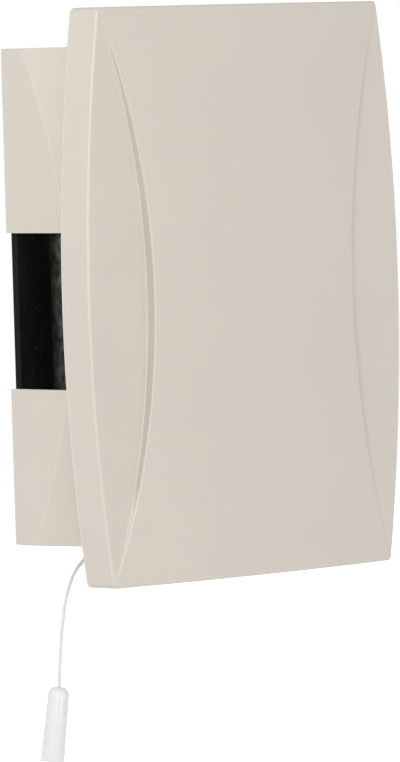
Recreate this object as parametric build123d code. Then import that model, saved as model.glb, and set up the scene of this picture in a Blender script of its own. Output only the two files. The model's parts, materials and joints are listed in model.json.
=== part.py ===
from build123d import *
from math import atan, atan2, cos, degrees, pi, radians, sin, tan
import os

# A wall doorbell chime box with a pull cord.
# All sizes are in millimetres. X points right, Y points back into the wall and Z points up.
# The origin is on the wall plane, in the middle of the box. Depth is measured forward from the wall.

# Gaps shared by the pieces
fixed_gap = 0.05
running_gap = 0.08
seat_gap = 0.3
overrun = 1.0

# Front shield
shield_height = 200.0
shield_corner_width = 136.0
shield_bow = 7.9
shield_standoff = 39.0
shield_rim_depth = 14.0
shield_wall = 2.2
shield_corner_round = 1.5
shield_edge_round = 1.0
panel_arc_inset = 19.2
panel_lift = 0.15
panel_edge_round = 0.8
crown_across = 3.8
crown_along = 1.9
floor_rise = 0.5
boss_radius = 3.6
boss_spacing_x = 80.0
boss_spacing_z = 144.0

# Case behind the shield
case_width = 130.0
case_height = 173.4
case_wall = 2.0
case_corner_round = 1.0
crease_depth_middle = 31.0
crease_depth_end = 10.0
flank_angle = 15.8
web_thickness = 2.0
web_opening_width = 62.0
web_opening_height = 122.0
notch_height = 54.5
notch_centre_z = -4.8
notch_depth = 30.0
cord_slot_gap = 0.9

# Screws that hold the shield on the case
shield_screw_radius = 1.5
shield_screw_head_radius = 3.0
shield_screw_head_height = 1.8
shield_screw_length = 5.0

# Base tray
case_clearance = 0.3
tray_wall = 2.0
tray_floor = 2.5
tray_straight_depth = 19.5
tray_depth = 31.0
tray_lean_angle = 25.0
wall_hole_radius = 2.25
wall_hole_upper_z = 60.0
wall_hole_spacing = 100.0
wall_hole_boss_radius = 5.5
wall_hole_boss_height = 2.0

# Tone plates, hung at their quiet points
plate_face_x = 37.0
plate_thickness = 3.0
plate_width = 24.0
plate_high_length = 116.0
plate_low_length = 136.0
plate_centre_z = 10.0
plate_node_share = 0.224
plate_hole_radius = 4.2
plate_edge_round = 0.6
works_depth = 20.0

# Rubber grommets, screws and posts of the plates
grommet_flange_radius = 5.6
grommet_flange = 2.0
plate_screw_radius = 1.75
plate_screw_head_radius = 3.6
plate_screw_head_height = 1.8
post_thickness = 8.0
post_width = 10.0
post_depth = 27.0
post_round = 1.0

# Solenoid
bobbin_length = 28.0
bobbin_flange_radius = 11.0
bobbin_flange = 1.2
bobbin_barrel_wall = 1.0
winding_radius = 10.2
yoke_thickness = 1.6
yoke_height = 22.0
yoke_foot_height = 36.0
yoke_leg_depth = 11.0
yoke_screw_radius = 1.5
yoke_screw_head_radius = 2.8
yoke_screw_head_height = 1.6
yoke_screw_spacing = 28.0
yoke_boss_radius = 3.4
sleeve_wall = 0.6
sleeve_stand = 1.4
pin_shoe_width = 5.0
pin_shoe_height = 3.0
pin_shoe_depth = 4.0
coil_pin_radius = 0.5
coil_pin_length = 4.0

# Plunger
core_radius = 4.3
core_length = 48.0
striker_radius = 2.6
striker_spigot_radius = 1.5
striker_spigot_length = 4.0
strike_travel = 6.0
back_travel = 1.5
clip_thickness = 1.0
clip_radius = 6.4
clip_groove = 0.5
clip_from_end = 0.5
clip_mouth = 3.0
plunger_spring_radius = 6.0
plunger_spring_wire = 0.6

# Terminal block, with its plates and screws
terminal_pitch = 11.0
terminal_count = 3
terminal_first_x = 0.0
terminal_z = -72.0
terminal_height = 13.0
terminal_block_depth = 11.0
terminal_side_wall = 1.8
terminal_pocket_depth = 6.5
terminal_slot_width = 6.0
terminal_plate_thickness = 1.2
terminal_screw_radius = 1.5
terminal_screw_head_radius = 2.7
terminal_screw_head_height = 1.7
terminal_screw_reach = 3.0
terminal_tab_width = 7.0
terminal_tab_thickness = 3.0
small_screw_radius = 1.4
small_screw_head_radius = 2.6
small_screw_head_height = 1.5
driver_slot_width = 0.8
driver_slot_depth = 0.7

# Cable grommet in the tray floor
cable_x = 24.0
cable_z = -48.0
cable_bore_radius = 4.0
cable_neck_radius = 6.6
cable_flange_radius = 8.8
cable_flange = 1.6

# Pull switch
cord_x = -46.0
pull_travel = 5.5
lever_arm = 10.0
lever_tail = 7.5
lever_thickness = 3.0
lever_half_height = 1.2
lever_hub_radius = 2.7
lever_pin_radius = 1.0
fork_gap = 0.25
fork_wall = 1.3
fork_overhang = 2.6
peg_radius = 1.0
slider_width = 6.0
slider_height = 9.0
slider_top_gap = 3.5
stem_radius = 1.2
stem_end_z = -82.0
slider_spring_radius = 2.6
slider_spring_wall = 0.6
switch_left_gap = 1.3
switch_right_room = 10.5
switch_back_depth = 10.5
switch_wall = 1.5
switch_inner_depth = 13.0
switch_lid_thickness = 1.5
switch_floor_z = -80.0
switch_height = 28.0
switch_ear_width = 7.0
switch_ear_height = 7.0
switch_ear_thickness = 2.0
switch_boss_radius = 3.4
bridge_width = 2.0
bridge_thickness = 0.8
bridge_length = 8.6
contact_width = 3.0
contact_thickness = 0.8
contact_tab_length = 3.0

# Cord guide bush in the underside
guide_bore_radius = 1.5
guide_neck_radius = 3.3
guide_flange_radius = 4.6
guide_flange = 1.3
guide_flare = 1.3

# Pull cord: its thickness and the points of its route
cord_radius = 0.6
cord_route = [
    (-46.0, -20.0, -82.0),
    (-46.0, -20.0, -86.6),
    (-50.2, -20.0, -91.2),
    (-55.6, -19.6, -95.8),
    (-59.1, -19.1, -103.2),
    (-60.9, -18.6, -112.0),
    (-61.9, -18.1, -122.2),
    (-62.3, -17.7, -130.5),
    (-62.4, -17.4, -135.9),
    (-62.9, -17.3, -139.4),
]

# Pull knob
knob_length = 26.2
knob_top_radius = 3.65
knob_bottom_radius = 4.1
knob_shoulder = 1.8
knob_bottom_round = 0.4
knob_socket_depth = 3.4
knob_socket_gap = 0.3

# Leads: their thickness and the points of their routes
lead_radius = 0.65
coil_lead_routes = [
    [
        (-11.5, -16.0, -8.0),
        (-11.5, -16.0, -15.0),
        (-9.8, -10.0, -25.0),
        (-8.4, -7.6, -38.0),
        (-7.0, -7.4, -50.0),
        (-2.4, -8.4, -58.0),
        (0.0, -9.2, -64.0),
        (0.0, -8.95, -68.4),
    ],
    [
        (11.5, -16.0, -8.0),
        (11.5, -16.0, -15.0),
        (10.4, -10.4, -25.0),
        (9.0, -7.6, -38.0),
        (9.6, -7.4, -50.0),
        (12.0, -8.2, -58.0),
        (12.8, -9.2, -64.0),
        (12.6, -8.95, -68.4),
    ],
]
switch_lead_routes = [
    [
        (-22.5, -13.8, -59.6),
        (-15.0, -13.9, -59.8),
        (-6.0, -13.4, -60.8),
        (2.0, -13.0, -60.6),
        (7.6, -11.6, -62.0),
        (9.2, -9.6, -65.4),
        (9.4, -8.95, -68.4),
    ],
    [
        (-22.5, -19.4, -59.6),
        (-13.5, -19.3, -59.8),
        (-1.0, -18.2, -60.8),
        (11.0, -16.4, -60.4),
        (19.0, -13.6, -61.4),
        (21.6, -10.2, -65.2),
        (22.0, -8.95, -68.4),
    ],
]

# Sizes worked out from the ones above
shield_half_height = shield_height / 2
shield_corner = shield_corner_width / 2
shield_middle = shield_corner + shield_bow
panel_middle = shield_corner - panel_arc_inset
shield_rim_front = shield_standoff + shield_rim_depth
panel_crest = shield_rim_front + panel_lift + crown_across + crown_along
case_half_width = case_width / 2
case_half_height = case_height / 2
case_front = shield_rim_front - shield_wall
flank_slope = tan(radians(flank_angle))
web_back = case_front - web_thickness
tray_inset = case_wall + case_clearance
tray_half_height = case_half_height - tray_inset
yoke_back = works_depth - bobbin_flange_radius - fixed_gap - yoke_thickness
yoke_half_length = bobbin_length / 2 + fixed_gap
yoke_outer = yoke_half_length + yoke_thickness
sleeve_inner = core_radius + running_gap
sleeve_outer = sleeve_inner + sleeve_wall
bobbin_bore = sleeve_outer + fixed_gap
barrel_radius = bobbin_bore + bobbin_barrel_wall
plunger_length = 2 * plate_face_x - 2 * seat_gap - strike_travel - back_travel
striker_length = (plunger_length - core_length) / 2
plunger_right = plate_face_x - seat_gap - back_travel
plunger_left = plunger_right - plunger_length
core_right = plunger_right - striker_length
core_left = plunger_left + striker_length
clip_right = core_right - clip_from_end
clip_left = clip_right - clip_thickness
pivot_x = cord_x + lever_arm
half_pull = pull_travel / 2
switch_left = cord_x - slider_width / 2 - switch_left_gap - switch_wall
switch_right = pivot_x + switch_right_room
switch_top_z = switch_floor_z + switch_height
switch_front = switch_back_depth + switch_wall + switch_inner_depth
slider_top_z = switch_top_z - switch_wall - slider_top_gap
slider_bottom_z = slider_top_z - slider_height
peg_z = (slider_top_z + slider_bottom_z) / 2
pivot_z = peg_z - half_pull
lever_angle = degrees(atan(half_pull / lever_arm))
lever_back = switch_back_depth + switch_wall + seat_gap
lever_front = lever_back + lever_thickness
slider_back = works_depth - slider_width / 2


# Basic shapes, placed by depth from the wall
def block(x0, x1, depth0, depth1, z0, z1):
    size = Box(x1 - x0, depth1 - depth0, z1 - z0)
    return Pos((x0 + x1) / 2, -(depth0 + depth1) / 2, (z0 + z1) / 2) * size


def rod(radius, start, end):
    span = Vector(*end) - Vector(*start)
    return Solid.make_cylinder(radius, span.length, Plane(origin=start, z_dir=span))


def rod_x(radius, x0, x1, depth, z):
    return rod(radius, (x0, -depth, z), (x1, -depth, z))


def rod_forward(radius, x, z, depth0, depth1):
    return rod(radius, (x, -depth0, z), (x, -depth1, z))


def rod_down(radius, x, depth, z0, z1):
    return rod(radius, (x, -depth, z0), (x, -depth, z1))


def slab(face, depth0, depth1):
    return extrude(Plane.XZ.offset(depth0) * face, amount=depth1 - depth0)


def mirrored(shape):
    return mirror(shape, about=Plane.YZ)


def only_solid(shape):
    return shape.solids().sort_by(SortBy.VOLUME)[-1]


# An outline with straight ends and sides that are arcs
def bowed_face(end_half_width, middle_half_width, half_height):
    right = ThreePointArc(
        (end_half_width, -half_height), (middle_half_width, 0), (end_half_width, half_height)
    )
    top = Line((end_half_width, half_height), (-end_half_width, half_height))
    left = ThreePointArc(
        (-end_half_width, half_height), (-middle_half_width, 0), (-end_half_width, -half_height)
    )
    bottom = Line((-end_half_width, -half_height), (end_half_width, -half_height))
    return make_face([right, top, left, bottom])


# Everything behind the crowned front of the panel, moved back by an inset
def crowned_body(inset):
    across = (shield_corner**2 + crown_across**2) / (2 * crown_across)
    along = (shield_half_height**2 + crown_along**2) / (2 * crown_along)
    half_span = shield_middle + overrun
    crest = -(panel_crest - inset)
    drop = across - inset - ((across - inset) ** 2 - half_span**2) ** 0.5
    arc = ThreePointArc((-half_span, crest + drop), (0, crest), (half_span, crest + drop))
    back = shield_rim_depth
    right = Line((half_span, crest + drop), (half_span, crest + drop + back))
    rear = Line((half_span, crest + drop + back), (-half_span, crest + drop + back))
    left = Line((-half_span, crest + drop + back), (-half_span, crest + drop))
    face = make_face([arc, right, rear, left])
    axis = Axis((0, crest + along - inset, 0), (1, 0, 0))
    half_turn = degrees(atan2(shield_half_height + overrun, along - shield_rim_depth - panel_lift))
    half_turn = half_turn + half_turn / 10
    return revolve(face.rotate(axis, -half_turn), axis=axis, revolution_arc=2 * half_turn)


# Everything behind the two lens floors, which rise a little towards the steps
def roof_body(inset):
    rise = floor_rise * shield_middle / (shield_middle - panel_middle)
    rim = -(shield_rim_front - inset)
    outside = shield_middle + overrun
    drop = floor_rise * overrun / (shield_middle - panel_middle)
    rear = -(shield_standoff - overrun)
    face = make_face(
        Polyline(
            (-outside, rim + drop), (0, rim - rise), (outside, rim + drop),
            (outside, rear), (-outside, rear), close=True,
        )
    )
    prism = extrude(face, amount=shield_half_height + overrun, both=True)
    return prism


def boss_places():
    half_x = boss_spacing_x / 2
    half_z = boss_spacing_z / 2
    return [(x, z) for x in (-half_x, half_x) for z in (-half_z, half_z)]


def front_shield():
    outline = bowed_face(shield_corner, shield_middle, shield_half_height)
    plate = slab(outline, shield_standoff, shield_rim_front + floor_rise + overrun + crown_across)
    plate = fillet(plate.edges().filter_by(Axis.Y), shield_corner_round)
    prism = plate
    plate = plate & roof_body(0)
    ridge = plate.edges().filter_by(Axis.Z)
    front_edges = plate.edges().filter_by(
        lambda edge: -edge.center().Y > shield_rim_front - floor_rise
    )
    plate = fillet(front_edges - ridge, shield_edge_round)
    panel = slab(
        bowed_face(shield_corner, panel_middle, shield_half_height),
        shield_standoff,
        panel_crest + overrun,
    )
    panel = panel & crowned_body(0)
    crest_face = panel.faces().sort_by(Axis.Y)[0]
    panel = fillet(crest_face.edges(), panel_edge_round) & prism
    inner_outline = bowed_face(
        shield_corner - shield_wall, shield_middle - shield_wall, shield_half_height - shield_wall
    )
    hollow = slab(inner_outline, shield_standoff - overrun, shield_rim_front + crown_across)
    hollow = hollow & roof_body(shield_wall)
    inner_panel = slab(
        bowed_face(
            shield_corner - shield_wall - shield_corner_round,
            panel_middle - shield_wall,
            shield_half_height - shield_wall,
        ),
        shield_rim_front - 2 * shield_wall,
        panel_crest,
    )
    hollow = hollow + (inner_panel & crowned_body(shield_wall))
    hollow = hollow & block(
        -shield_middle, 0, shield_standoff - overrun, panel_crest, -shield_half_height, shield_half_height
    )
    for z in (-boss_spacing_z / 2, boss_spacing_z / 2):
        hollow = hollow - rod_forward(boss_radius, -boss_spacing_x / 2, z, case_front, panel_crest)
    shield = plate + panel - (hollow + mirrored(hollow))
    pilot_end = web_back + shield_screw_length + seat_gap
    for x, z in boss_places():
        shield = shield - rod_forward(
            shield_screw_radius + fixed_gap, x, z, case_front - overrun, pilot_end
        )
    return only_solid(shield)


# The form of the case and of the tray inside it: a box whose flanks lean in towards the front
def case_form(inset, depth0, depth1):
    sides = slab(
        RectangleRounded(case_width - 2 * inset, case_height - 2 * inset, case_corner_round),
        depth0,
        depth1,
    )
    reach = case_half_height + overrun
    bow = (crease_depth_middle - crease_depth_end) * flank_slope
    bow_at_reach = bow * (reach / case_half_height) ** 2

    def outline(depth):
        middle = case_half_width - inset + (crease_depth_middle - depth) * flank_slope
        return Plane.XZ.offset(depth) * bowed_face(middle - bow_at_reach, middle, reach)

    flanks = loft([outline(depth0 - overrun), outline(depth1 + overrun)], ruled=True)
    return sides & flanks


def case_hood():
    hood = case_form(0, 0, case_front) - case_form(case_wall, -overrun, web_back)
    hood = hood - block(
        -web_opening_width / 2, web_opening_width / 2, web_back - overrun, case_front + overrun,
        -web_opening_height / 2, web_opening_height / 2,
    )
    notch_half = notch_height / 2
    for side in (-1, 1):
        middle = side * case_half_width
        hood = hood - block(
            middle - 2 * case_wall, middle + 2 * case_wall, -overrun, notch_depth,
            notch_centre_z - notch_half, notch_centre_z + notch_half,
        )
    slot_radius = guide_neck_radius + cord_slot_gap
    slot = Pos(cord_x, -(works_depth - overrun) / 2, -case_half_height) * Box(
        2 * slot_radius, works_depth + overrun, 4 * case_wall
    )
    slot_end = rod_down(
        slot_radius, cord_x, works_depth, -case_half_height + 2 * case_wall,
        -case_half_height - 2 * case_wall,
    )
    hood = hood - slot - slot_end
    for x, z in boss_places():
        hood = hood - rod_forward(
            shield_screw_radius + seat_gap, x, z, web_back - overrun, case_front + overrun
        )
    return only_solid(hood)


# A screw whose head sits on a face, pointing along a direction, with one driver slot
def slotted_screw(seat, direction, radius, head_radius, head_height, length):
    way = Vector(*direction).normalized()
    seat = Vector(*seat)
    head_top = seat - way * head_height
    screw = rod(head_radius, tuple(head_top), tuple(seat))
    top_edge = sorted(screw.edges(), key=lambda edge: (edge.center() - head_top).length)[0]
    screw = fillet(top_edge, head_height / 3)
    screw = screw + rod(radius, tuple(seat), tuple(seat + way * length))
    slot = Plane(origin=head_top, z_dir=way) * Box(
        2 * head_radius + overrun, driver_slot_width, 2 * driver_slot_depth
    )
    return only_solid(screw - slot)


def shield_screws():
    return [
        slotted_screw(
            (x, -web_back, z), (0, -1, 0), shield_screw_radius, shield_screw_head_radius,
            shield_screw_head_height, shield_screw_length,
        )
        for x, z in boss_places()
    ]


def plate_hole_heights(length):
    offset = length / 2 - plate_node_share * length
    return (plate_centre_z - offset, plate_centre_z + offset)


# The side of a tone plate: -1 is the short high plate on the left, 1 the long low one
def plate_sides():
    return ((-1, plate_high_length), (1, plate_low_length))


post_inner = plate_face_x + plate_thickness + grommet_flange
post_outer = post_inner + post_thickness


def tray_lean(inset, front):
    half_width = case_half_width - inset
    height = case_height
    lean = (front - tray_straight_depth) * tan(radians(tray_lean_angle))
    straight = block(
        -half_width, half_width, -overrun, tray_straight_depth, -height / 2, height / 2
    )
    near = Plane.XZ.offset(tray_straight_depth) * Rectangle(2 * half_width, height)
    far = Plane.XZ.offset(front) * Rectangle(2 * (half_width - lean), height)
    return straight + loft([near, far], ruled=True)


def base_tray():
    outer = case_form(tray_inset, 0, tray_depth) & tray_lean(tray_inset, tray_depth)
    inner_inset = tray_inset + tray_wall
    front = tray_depth + overrun
    inner = case_form(inner_inset, tray_floor, front) & tray_lean(inner_inset, front)
    tray = outer - inner
    for side, length in plate_sides():
        for z in plate_hole_heights(length):
            post = block(
                post_inner, post_outer, tray_floor - overrun, post_depth,
                z - post_width / 2, z + post_width / 2,
            )
            corners = post.edges().filter_by(Axis.X).sort_by(Axis.Y)[:2]
            post = fillet(corners, post_round)
            post = post - rod_x(
                plate_screw_radius + fixed_gap, post_inner - overrun, post_outer + overrun,
                works_depth, z,
            )
            tray = tray + (post if side > 0 else mirrored(post))
    for side in (-1, 1):
        z = plate_centre_z + side * yoke_screw_spacing / 2
        boss = rod_forward(yoke_boss_radius, 0, z, tray_floor - overrun, yoke_back)
        pilot = rod_forward(yoke_screw_radius + fixed_gap, 0, z, tray_floor, yoke_back + overrun)
        tray = tray + boss - pilot
    for z in switch_ear_heights():
        boss = rod_forward(switch_boss_radius, ear_x, z, tray_floor - overrun, switch_back_depth)
        pilot = rod_forward(
            small_screw_radius + fixed_gap, ear_x, z, tray_floor, switch_back_depth + overrun
        )
        tray = tray + boss - pilot
    for z in (switch_floor_z + 2 * switch_wall, switch_top_z - 2 * switch_wall):
        rib = block(
            switch_left + switch_wall, switch_right - switch_wall, tray_floor - overrun,
            switch_back_depth, z - switch_wall / 2, z + switch_wall / 2,
        )
        tray = tray + rib
    for x in terminal_tab_centres():
        tray = tray - rod_forward(
            small_screw_radius + fixed_gap, x, terminal_z, -overrun, tray_floor + overrun
        )
    for z in (wall_hole_upper_z, wall_hole_upper_z - wall_hole_spacing):
        boss = rod_forward(
            wall_hole_boss_radius, 0, z, tray_floor - overrun, tray_floor + wall_hole_boss_height
        )
        hole = rod_forward(
            wall_hole_radius, 0, z, -overrun, tray_floor + wall_hole_boss_height + overrun
        )
        tray = tray + boss - hole
    tray = tray - rod_forward(
        cable_neck_radius + fixed_gap, cable_x, cable_z, -overrun, tray_floor + overrun
    )
    tray = tray - rod_down(
        guide_neck_radius + fixed_gap, cord_x, works_depth, -tray_half_height + 2 * tray_wall,
        -tray_half_height - overrun,
    )
    return only_solid(tray)


def tone_plate(side, length):
    plate = block(
        plate_face_x, plate_face_x + plate_thickness,
        works_depth - plate_width / 2, works_depth + plate_width / 2,
        plate_centre_z - length / 2, plate_centre_z + length / 2,
    )
    plate = fillet(plate.edges(), plate_edge_round)
    for z in plate_hole_heights(length):
        plate = plate - rod_x(
            plate_hole_radius, plate_face_x - overrun, plate_face_x + plate_thickness + overrun,
            works_depth, z,
        )
    return only_solid(plate if side > 0 else mirrored(plate))


def plate_grommets():
    grommets = []
    inner = plate_face_x - grommet_flange
    outer = plate_face_x + plate_thickness
    for side, length in plate_sides():
        for z in plate_hole_heights(length):
            grommet = rod_x(plate_hole_radius - fixed_gap, inner, post_inner, works_depth, z)
            grommet = grommet + rod_x(
                grommet_flange_radius, inner, plate_face_x - fixed_gap, works_depth, z
            )
            grommet = grommet + rod_x(
                grommet_flange_radius, outer + fixed_gap, post_inner, works_depth, z
            )
            grommet = grommet - rod_x(
                plate_screw_radius + fixed_gap, inner - overrun, post_inner + overrun,
                works_depth, z,
            )
            grommets.append(only_solid(grommet if side > 0 else mirrored(grommet)))
    return grommets


def plate_screws():
    screws = []
    seat_x = plate_face_x - grommet_flange
    for side, length in plate_sides():
        for z in plate_hole_heights(length):
            screws.append(
                slotted_screw(
                    (side * seat_x, -works_depth, z), (side, 0, 0), plate_screw_radius,
                    plate_screw_head_radius, plate_screw_head_height,
                    post_outer - overrun - seat_x,
                )
            )
    return screws


def solenoid_yoke():
    front = works_depth + yoke_leg_depth
    half = yoke_height / 2
    outer = block(
        -yoke_outer, yoke_outer, yoke_back, front, plate_centre_z - half, plate_centre_z + half
    )
    inner = block(
        -yoke_half_length, yoke_half_length, yoke_back + yoke_thickness, front + overrun,
        plate_centre_z - half - overrun, plate_centre_z + half + overrun,
    )
    foot_half = yoke_foot_height / 2
    foot = block(
        -yoke_boss_radius, yoke_boss_radius, yoke_back, yoke_back + yoke_thickness,
        plate_centre_z - foot_half, plate_centre_z + foot_half,
    )
    yoke = outer - inner + foot
    yoke = yoke - rod_x(
        sleeve_outer + fixed_gap, -yoke_outer - overrun, yoke_outer + overrun, works_depth,
        plate_centre_z,
    )
    for side in (-1, 1):
        z = plate_centre_z + side * yoke_screw_spacing / 2
        yoke = yoke - rod_forward(
            yoke_screw_radius + fixed_gap, 0, z, yoke_back - overrun,
            yoke_back + yoke_thickness + overrun,
        )
    return only_solid(yoke)


def yoke_screws():
    screws = []
    for side in (-1, 1):
        z = plate_centre_z + side * yoke_screw_spacing / 2
        seat = (0, -(yoke_back + yoke_thickness), z)
        screws.append(
            slotted_screw(
                seat, (0, 1, 0), yoke_screw_radius, yoke_screw_head_radius,
                yoke_screw_head_height, yoke_back + yoke_thickness - tray_floor - seat_gap,
            )
        )
    return screws


shoe_top_z = plate_centre_z - bobbin_flange_radius
shoe_bottom_z = shoe_top_z - pin_shoe_height
shoe_front = works_depth - pin_shoe_depth / 2
shoe_back = shoe_front - pin_shoe_depth


def coil_pin_x():
    return bobbin_length / 2 - pin_shoe_width / 2


def coil_bobbin():
    half = bobbin_length / 2
    bobbin = rod_x(barrel_radius, -half, half, works_depth, plate_centre_z)
    for start, end in ((-half, -half + bobbin_flange), (half - bobbin_flange, half)):
        bobbin = bobbin + rod_x(bobbin_flange_radius, start, end, works_depth, plate_centre_z)
    for side in (-1, 1):
        middle = side * coil_pin_x()
        bobbin = bobbin + block(
            middle - pin_shoe_width / 2, middle + pin_shoe_width / 2, shoe_back, shoe_front,
            shoe_bottom_z, shoe_top_z,
        )
        web = side * (half - bobbin_flange / 2)
        bobbin = bobbin + block(
            web - bobbin_flange / 2, web + bobbin_flange / 2, shoe_back, shoe_front,
            shoe_bottom_z, shoe_top_z + pin_shoe_height,
        )
    bobbin = bobbin - rod_x(
        bobbin_bore, -half - overrun, half + overrun, works_depth, plate_centre_z
    )
    return only_solid(bobbin)


def coil_winding():
    half = bobbin_length / 2 - bobbin_flange - fixed_gap
    winding = rod_x(winding_radius, -half, half, works_depth, plate_centre_z)
    return only_solid(
        winding - rod_x(
            barrel_radius + fixed_gap, -half - overrun, half + overrun, works_depth,
            plate_centre_z,
        )
    )


def coil_pins():
    pins = []
    for side in (-1, 1):
        pins.append(
            rod_down(
                coil_pin_radius, side * coil_pin_x(), (shoe_back + shoe_front) / 2,
                shoe_bottom_z, shoe_bottom_z - coil_pin_length,
            )
        )
    return pins


def plunger_sleeve():
    half = yoke_outer + sleeve_stand
    sleeve = rod_x(sleeve_outer, -half, half, works_depth, plate_centre_z)
    return only_solid(
        sleeve - rod_x(sleeve_inner, -half - overrun, half + overrun, works_depth, plate_centre_z)
    )


def plunger_core():
    core = rod_x(core_radius, core_left, core_right, works_depth, plate_centre_z)
    groove = rod_x(core_radius + overrun, clip_left, clip_right, works_depth, plate_centre_z)
    groove = groove - rod_x(
        core_radius - clip_groove, clip_left - overrun, clip_right + overrun, works_depth,
        plate_centre_z,
    )
    core = core - groove
    for end, inward in ((core_left, 1), (core_right, -1)):
        bottom = end + inward * (striker_spigot_length + seat_gap)
        outside = end - inward * overrun
        core = core - rod_x(
            striker_spigot_radius + fixed_gap, min(bottom, outside), max(bottom, outside),
            works_depth, plate_centre_z,
        )
    return only_solid(core)


# A nylon striker with a domed end and a spigot in the core
def striker(seat, tip):
    way = 1 if tip > seat else -1
    body = rod_x(striker_radius, min(seat, tip), max(seat, tip), works_depth, plate_centre_z)
    end_edge = sorted(body.edges(), key=lambda edge: abs(edge.center().X - tip))[0]
    body = fillet(end_edge, striker_radius / 2)
    inside = seat - way * striker_spigot_length
    spigot = rod_x(
        striker_spigot_radius, min(seat, inside), max(seat, inside), works_depth, plate_centre_z
    )
    return only_solid(body + spigot)


def plunger_clip():
    clip = rod_x(clip_radius, clip_left, clip_right, works_depth, plate_centre_z)
    clip = clip - rod_x(
        core_radius - clip_groove + fixed_gap, clip_left - overrun, clip_right + overrun,
        works_depth, plate_centre_z,
    )
    mouth = block(
        clip_left - overrun, clip_right + overrun, works_depth, works_depth + 2 * clip_radius,
        plate_centre_z - clip_mouth / 2, plate_centre_z + clip_mouth / 2,
    )
    return only_solid(clip - mouth)


def plunger_spring():
    spring = rod_x(plunger_spring_radius, yoke_outer, clip_left, works_depth, plate_centre_z)
    return only_solid(
        spring - rod_x(
            plunger_spring_radius - plunger_spring_wire, yoke_outer - overrun,
            clip_left + overrun, works_depth, plate_centre_z,
        )
    )


def terminal_centres():
    return [terminal_first_x + index * terminal_pitch for index in range(terminal_count)]


terminal_half_width = terminal_pitch / 2
terminal_left = terminal_first_x - terminal_half_width - terminal_side_wall
terminal_right = (
    terminal_first_x + (terminal_count - 1) * terminal_pitch + terminal_half_width
    + terminal_side_wall
)
terminal_front = tray_floor + terminal_block_depth
pocket_floor = terminal_front - terminal_pocket_depth
pocket_half_width = terminal_half_width - terminal_side_wall / 2


def terminal_tab_centres():
    return (
        terminal_left - terminal_tab_width / 2,
        terminal_right + terminal_tab_width / 2,
    )


def terminal_block():
    half = terminal_height / 2
    body = block(
        terminal_left, terminal_right, tray_floor, terminal_front, terminal_z - half,
        terminal_z + half,
    )
    for x in terminal_centres():
        pocket = block(
            x - pocket_half_width, x + pocket_half_width, pocket_floor,
            terminal_front + overrun, terminal_z - half + terminal_side_wall,
            terminal_z + half - terminal_side_wall,
        )
        entry = block(
            x - terminal_slot_width / 2, x + terminal_slot_width / 2, pocket_floor,
            terminal_front + overrun, terminal_z, terminal_z + half + overrun,
        )
        pilot = rod_forward(
            terminal_screw_radius + fixed_gap, x, terminal_z,
            pocket_floor - terminal_screw_reach - seat_gap, pocket_floor + overrun,
        )
        body = body - pocket - entry - pilot
    for x in terminal_tab_centres():
        tab = block(
            x - terminal_tab_width / 2, x + terminal_tab_width / 2, tray_floor,
            tray_floor + terminal_tab_thickness, terminal_z - terminal_tab_width / 2,
            terminal_z + terminal_tab_width / 2,
        )
        hole = rod_forward(
            small_screw_radius + fixed_gap, x, terminal_z, tray_floor - overrun,
            tray_floor + terminal_tab_thickness + overrun,
        )
        body = body + tab - hole
    return only_solid(body)


def terminal_plates():
    plates = []
    half_width = pocket_half_width - seat_gap
    half_height = terminal_height / 2 - terminal_side_wall - seat_gap
    for x in terminal_centres():
        plate = block(
            x - half_width, x + half_width, pocket_floor, pocket_floor + terminal_plate_thickness,
            terminal_z - half_height, terminal_z + half_height,
        )
        plate = plate - rod_forward(
            terminal_screw_radius + fixed_gap, x, terminal_z, pocket_floor - overrun,
            pocket_floor + terminal_plate_thickness + overrun,
        )
        plates.append(only_solid(plate))
    return plates


def terminal_screws():
    return [
        slotted_screw(
            (x, -(pocket_floor + terminal_plate_thickness), terminal_z), (0, 1, 0),
            terminal_screw_radius, terminal_screw_head_radius, terminal_screw_head_height,
            terminal_plate_thickness + terminal_screw_reach,
        )
        for x in terminal_centres()
    ]


def block_screws():
    return [
        slotted_screw(
            (x, -(tray_floor + terminal_tab_thickness), terminal_z), (0, 1, 0),
            small_screw_radius, small_screw_head_radius, small_screw_head_height,
            terminal_tab_thickness + tray_floor - seat_gap,
        )
        for x in terminal_tab_centres()
    ]


def cable_grommet():
    grommet = rod_forward(cable_neck_radius, cable_x, cable_z, 0, tray_floor + cable_flange)
    grommet = grommet + rod_forward(
        cable_flange_radius, cable_x, cable_z, tray_floor, tray_floor + cable_flange
    )
    return only_solid(
        grommet - rod_forward(
            cable_bore_radius, cable_x, cable_z, -overrun, tray_floor + cable_flange + overrun
        )
    )


ear_x = switch_right + switch_ear_width / 2


def switch_ear_heights():
    return (
        switch_floor_z + switch_ear_height / 2,
        contact_z - seat_gap - switch_ear_height / 2,
    )


def lid_screw_places():
    inside = switch_wall + small_screw_radius
    return (
        (switch_right - inside, switch_floor_z + inside),
        (switch_right - inside, switch_top_z - inside),
    )


# Height of the fixed contacts: just above the bridge when the cord is fully pulled
bridge_end = lever_tail
bridge_top = lever_half_height + bridge_thickness
contact_rise = (
    bridge_end * sin(radians(lever_angle)) + bridge_top * cos(radians(lever_angle)) + seat_gap
)
contact_z = pivot_z + contact_rise


def contact_depths():
    first = lever_back
    last = lever_back + bridge_length
    return ((first, first + contact_width), (last - contact_width, last))


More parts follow.
